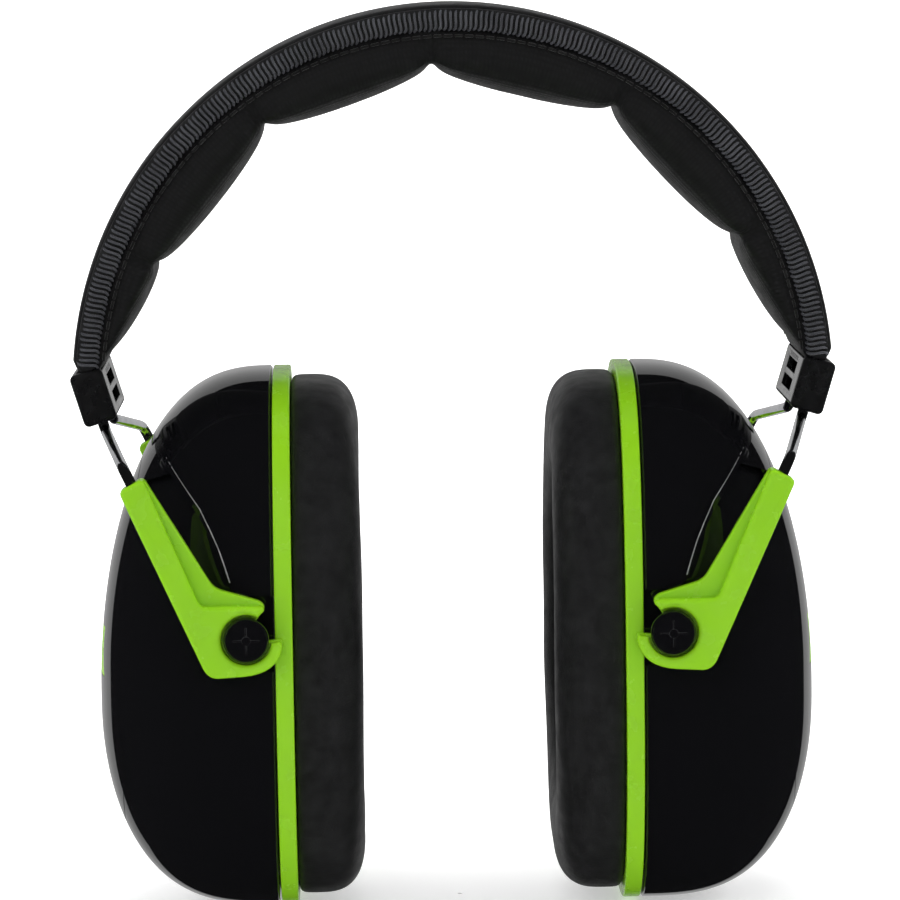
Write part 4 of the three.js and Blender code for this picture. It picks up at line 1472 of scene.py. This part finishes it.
    def dress(self, obj: bpy.types.Object, node: str,
              material: bpy.types.Material) -> bpy.types.Object:
        """Mirror a right-hand piece where needed, give it its finish and let it stand for its node."""
        mirrored(obj.data, self.side.value, 1)
        if len(obj.data.materials) < 2:
            obj.data.materials.clear()
            obj.data.materials.append(material)
        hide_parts(f"{self.side.word}_{node}")
        return obj

    def build(self) -> None:
        """Build every piece of the cup and let it ride on the cup's body."""
        pieces = [self.shell(), self.accent(), self.trim_ring(), self.seal_plate(), self.foam(),
                  self.cushion()]
        pieces += [self.pivot(end) for end in End]
        pieces += [self.recess_rim(end) for end in End]
        for obj in pieces:
            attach(obj, f"{self.side.word}_cup")
            LOG.info("cup: %s, %d faces", obj.name, len(obj.data.polygons))


# ---------- studio ----------


@dataclass
class Studio:
    """Round pale studio with soft lights, cards that polished surfaces reflect, and the camera."""

    distance: float = 1.0
    azimuth: float = math.radians(-1.0)
    elevation: float = math.radians(6.0)
    roll: float = math.radians(-0.9)
    field_mm: float = 184.9  # height of the view at the object's middle
    middle_mm: float = 92.2
    aim_x_mm: float = -0.6

    def camera(self) -> None:
        """Long-lens camera a little above the object's middle."""
        data = bpy.data.cameras.new("camera")
        data.sensor_width = 36
        data.lens = 36 * self.distance / (self.field_mm * MM)
        data.clip_start, data.clip_end = 0.05, 50
        camera = bpy.data.objects.new("camera", data)
        bpy.context.scene.collection.objects.link(camera)
        back = Vector((math.sin(self.azimuth) * math.cos(self.elevation),
                       -math.cos(self.azimuth) * math.cos(self.elevation), math.sin(self.elevation)))
        target = place_mm(self.aim_x_mm, 0, self.middle_mm)
        camera.location = target + back * self.distance
        turn = (-back).to_track_quat("-Z", "Y").to_matrix().to_4x4() @ Matrix.Rotation(self.roll, 4, "Z")
        camera.rotation_euler = turn.to_euler()
        bpy.context.scene.camera = camera

    def bowl(self) -> None:
        """Floor that curves up into a wall all the way round."""
        floor, radius, bend, top = FLOOR_Z - 0.0003, 1.7, 0.5, 1.9
        profile = [(0.0005, floor), (0.4, floor), (radius - bend, floor)]
        profile += [(radius - bend + bend * math.sin(a), floor + bend * (1 - math.cos(a)))
                    for a in (math.pi / 2 * k / 12 for k in range(1, 13))]
        profile.append((radius, floor + top))
        count = 96
        verts = [Vector((r * math.cos(a), r * math.sin(a), h)) for r, h in profile
                 for a in (math.tau * k / count for k in range(count))]
        faces = [(i * count + k, i * count + (k + 1) % count,
                  (i + 1) * count + (k + 1) % count, (i + 1) * count + k)
                 for i in range(len(profile) - 1) for k in range(count)]
        faces.append(tuple(range(count)))
        mesh = bpy.data.meshes.new("studio_bowl")
        mesh.from_pydata(verts, [], faces)
        obj = link("studio_bowl", mesh, StudioPaper("pale_paper").build())
        obj.visible_glossy = False

    def card(self, name: str, middle: Vector, across: Vector, up: Vector, glow: float) -> None:
        """A glowing card that only polished surfaces see.

        Args:
            name: Name of the card.
            middle: Its middle.
            across: Half its width as a vector.
            up: Half its height as a vector.
            glow: Brightness.
        """
        mesh = bpy.data.meshes.new(name)
        corners = [middle - across - up, middle + across - up, middle + across + up, middle - across + up]
        mesh.from_pydata(corners, [], [(0, 1, 2, 3)])
        obj = link(name, mesh, StudioPaper(f"{name}_paper", (0, 0, 0, 1), glow, glow).build())
        obj.visible_camera = obj.visible_diffuse = obj.visible_shadow = obj.visible_transmission = False

    def light(self, name: str, place: Vector, size: tuple, power: float) -> None:
        """A soft rectangular light aimed at the object's middle, not seen in polished surfaces.

        Args:
            name: Name of the light.
            place: Where it stands.
            size: Width and height in metres.
            power: Power in watts.
        """
        data = bpy.data.lights.new(name, "AREA")
        data.shape = "RECTANGLE"
        data.size, data.size_y = size
        data.energy = power
        lamp = bpy.data.objects.new(name, data)
        bpy.context.scene.collection.objects.link(lamp)
        lamp.location = place
        aim = place_mm(0, 0, 80) - place
        lamp.rotation_euler = aim.to_track_quat("-Z", "Y").to_euler()
        lamp.visible_glossy = False

    def build(self) -> None:
        """Set up the studio."""
        world = bpy.data.worlds.new("studio")
        world.use_nodes = True
        world.node_tree.nodes["Background"].inputs["Color"].default_value = (1, 1, 1, 1)
        world.node_tree.nodes["Background"].inputs["Strength"].default_value = 0.01
        bpy.context.scene.world = world
        bpy.context.scene.view_settings.view_transform = "Standard"
        self.bowl()
        middle = place_mm(0, 0, 92)
        self.card("back_card", middle + Vector((0, 0.8, 0)), Vector((0.62, 0, 0)), Vector((0, 0, 0.6)), 0.5)
        for sign, word in ((-1, "left"), (1, "right")):
            self.light(word, Vector((sign * 1.2, -0.2, 0.6)), (0.7, 0.9), 3.5)
        self.light("top", Vector((0, 0, 1.3)), (1.0, 0.8), 8)
        self.light("front_fill", Vector((-0.4, -1.3, 0.6)), (0.7, 0.6), 3)
        self.camera()


def main() -> None:
    """Build the earmuff and its studio."""
    palette = Palette()
    Studio().build()
    Headband(palette).build()
    for side in Side:
        Yoke(side, palette).build()
        EarCup(side, palette).build()


if __name__ == "__main__":
    main()
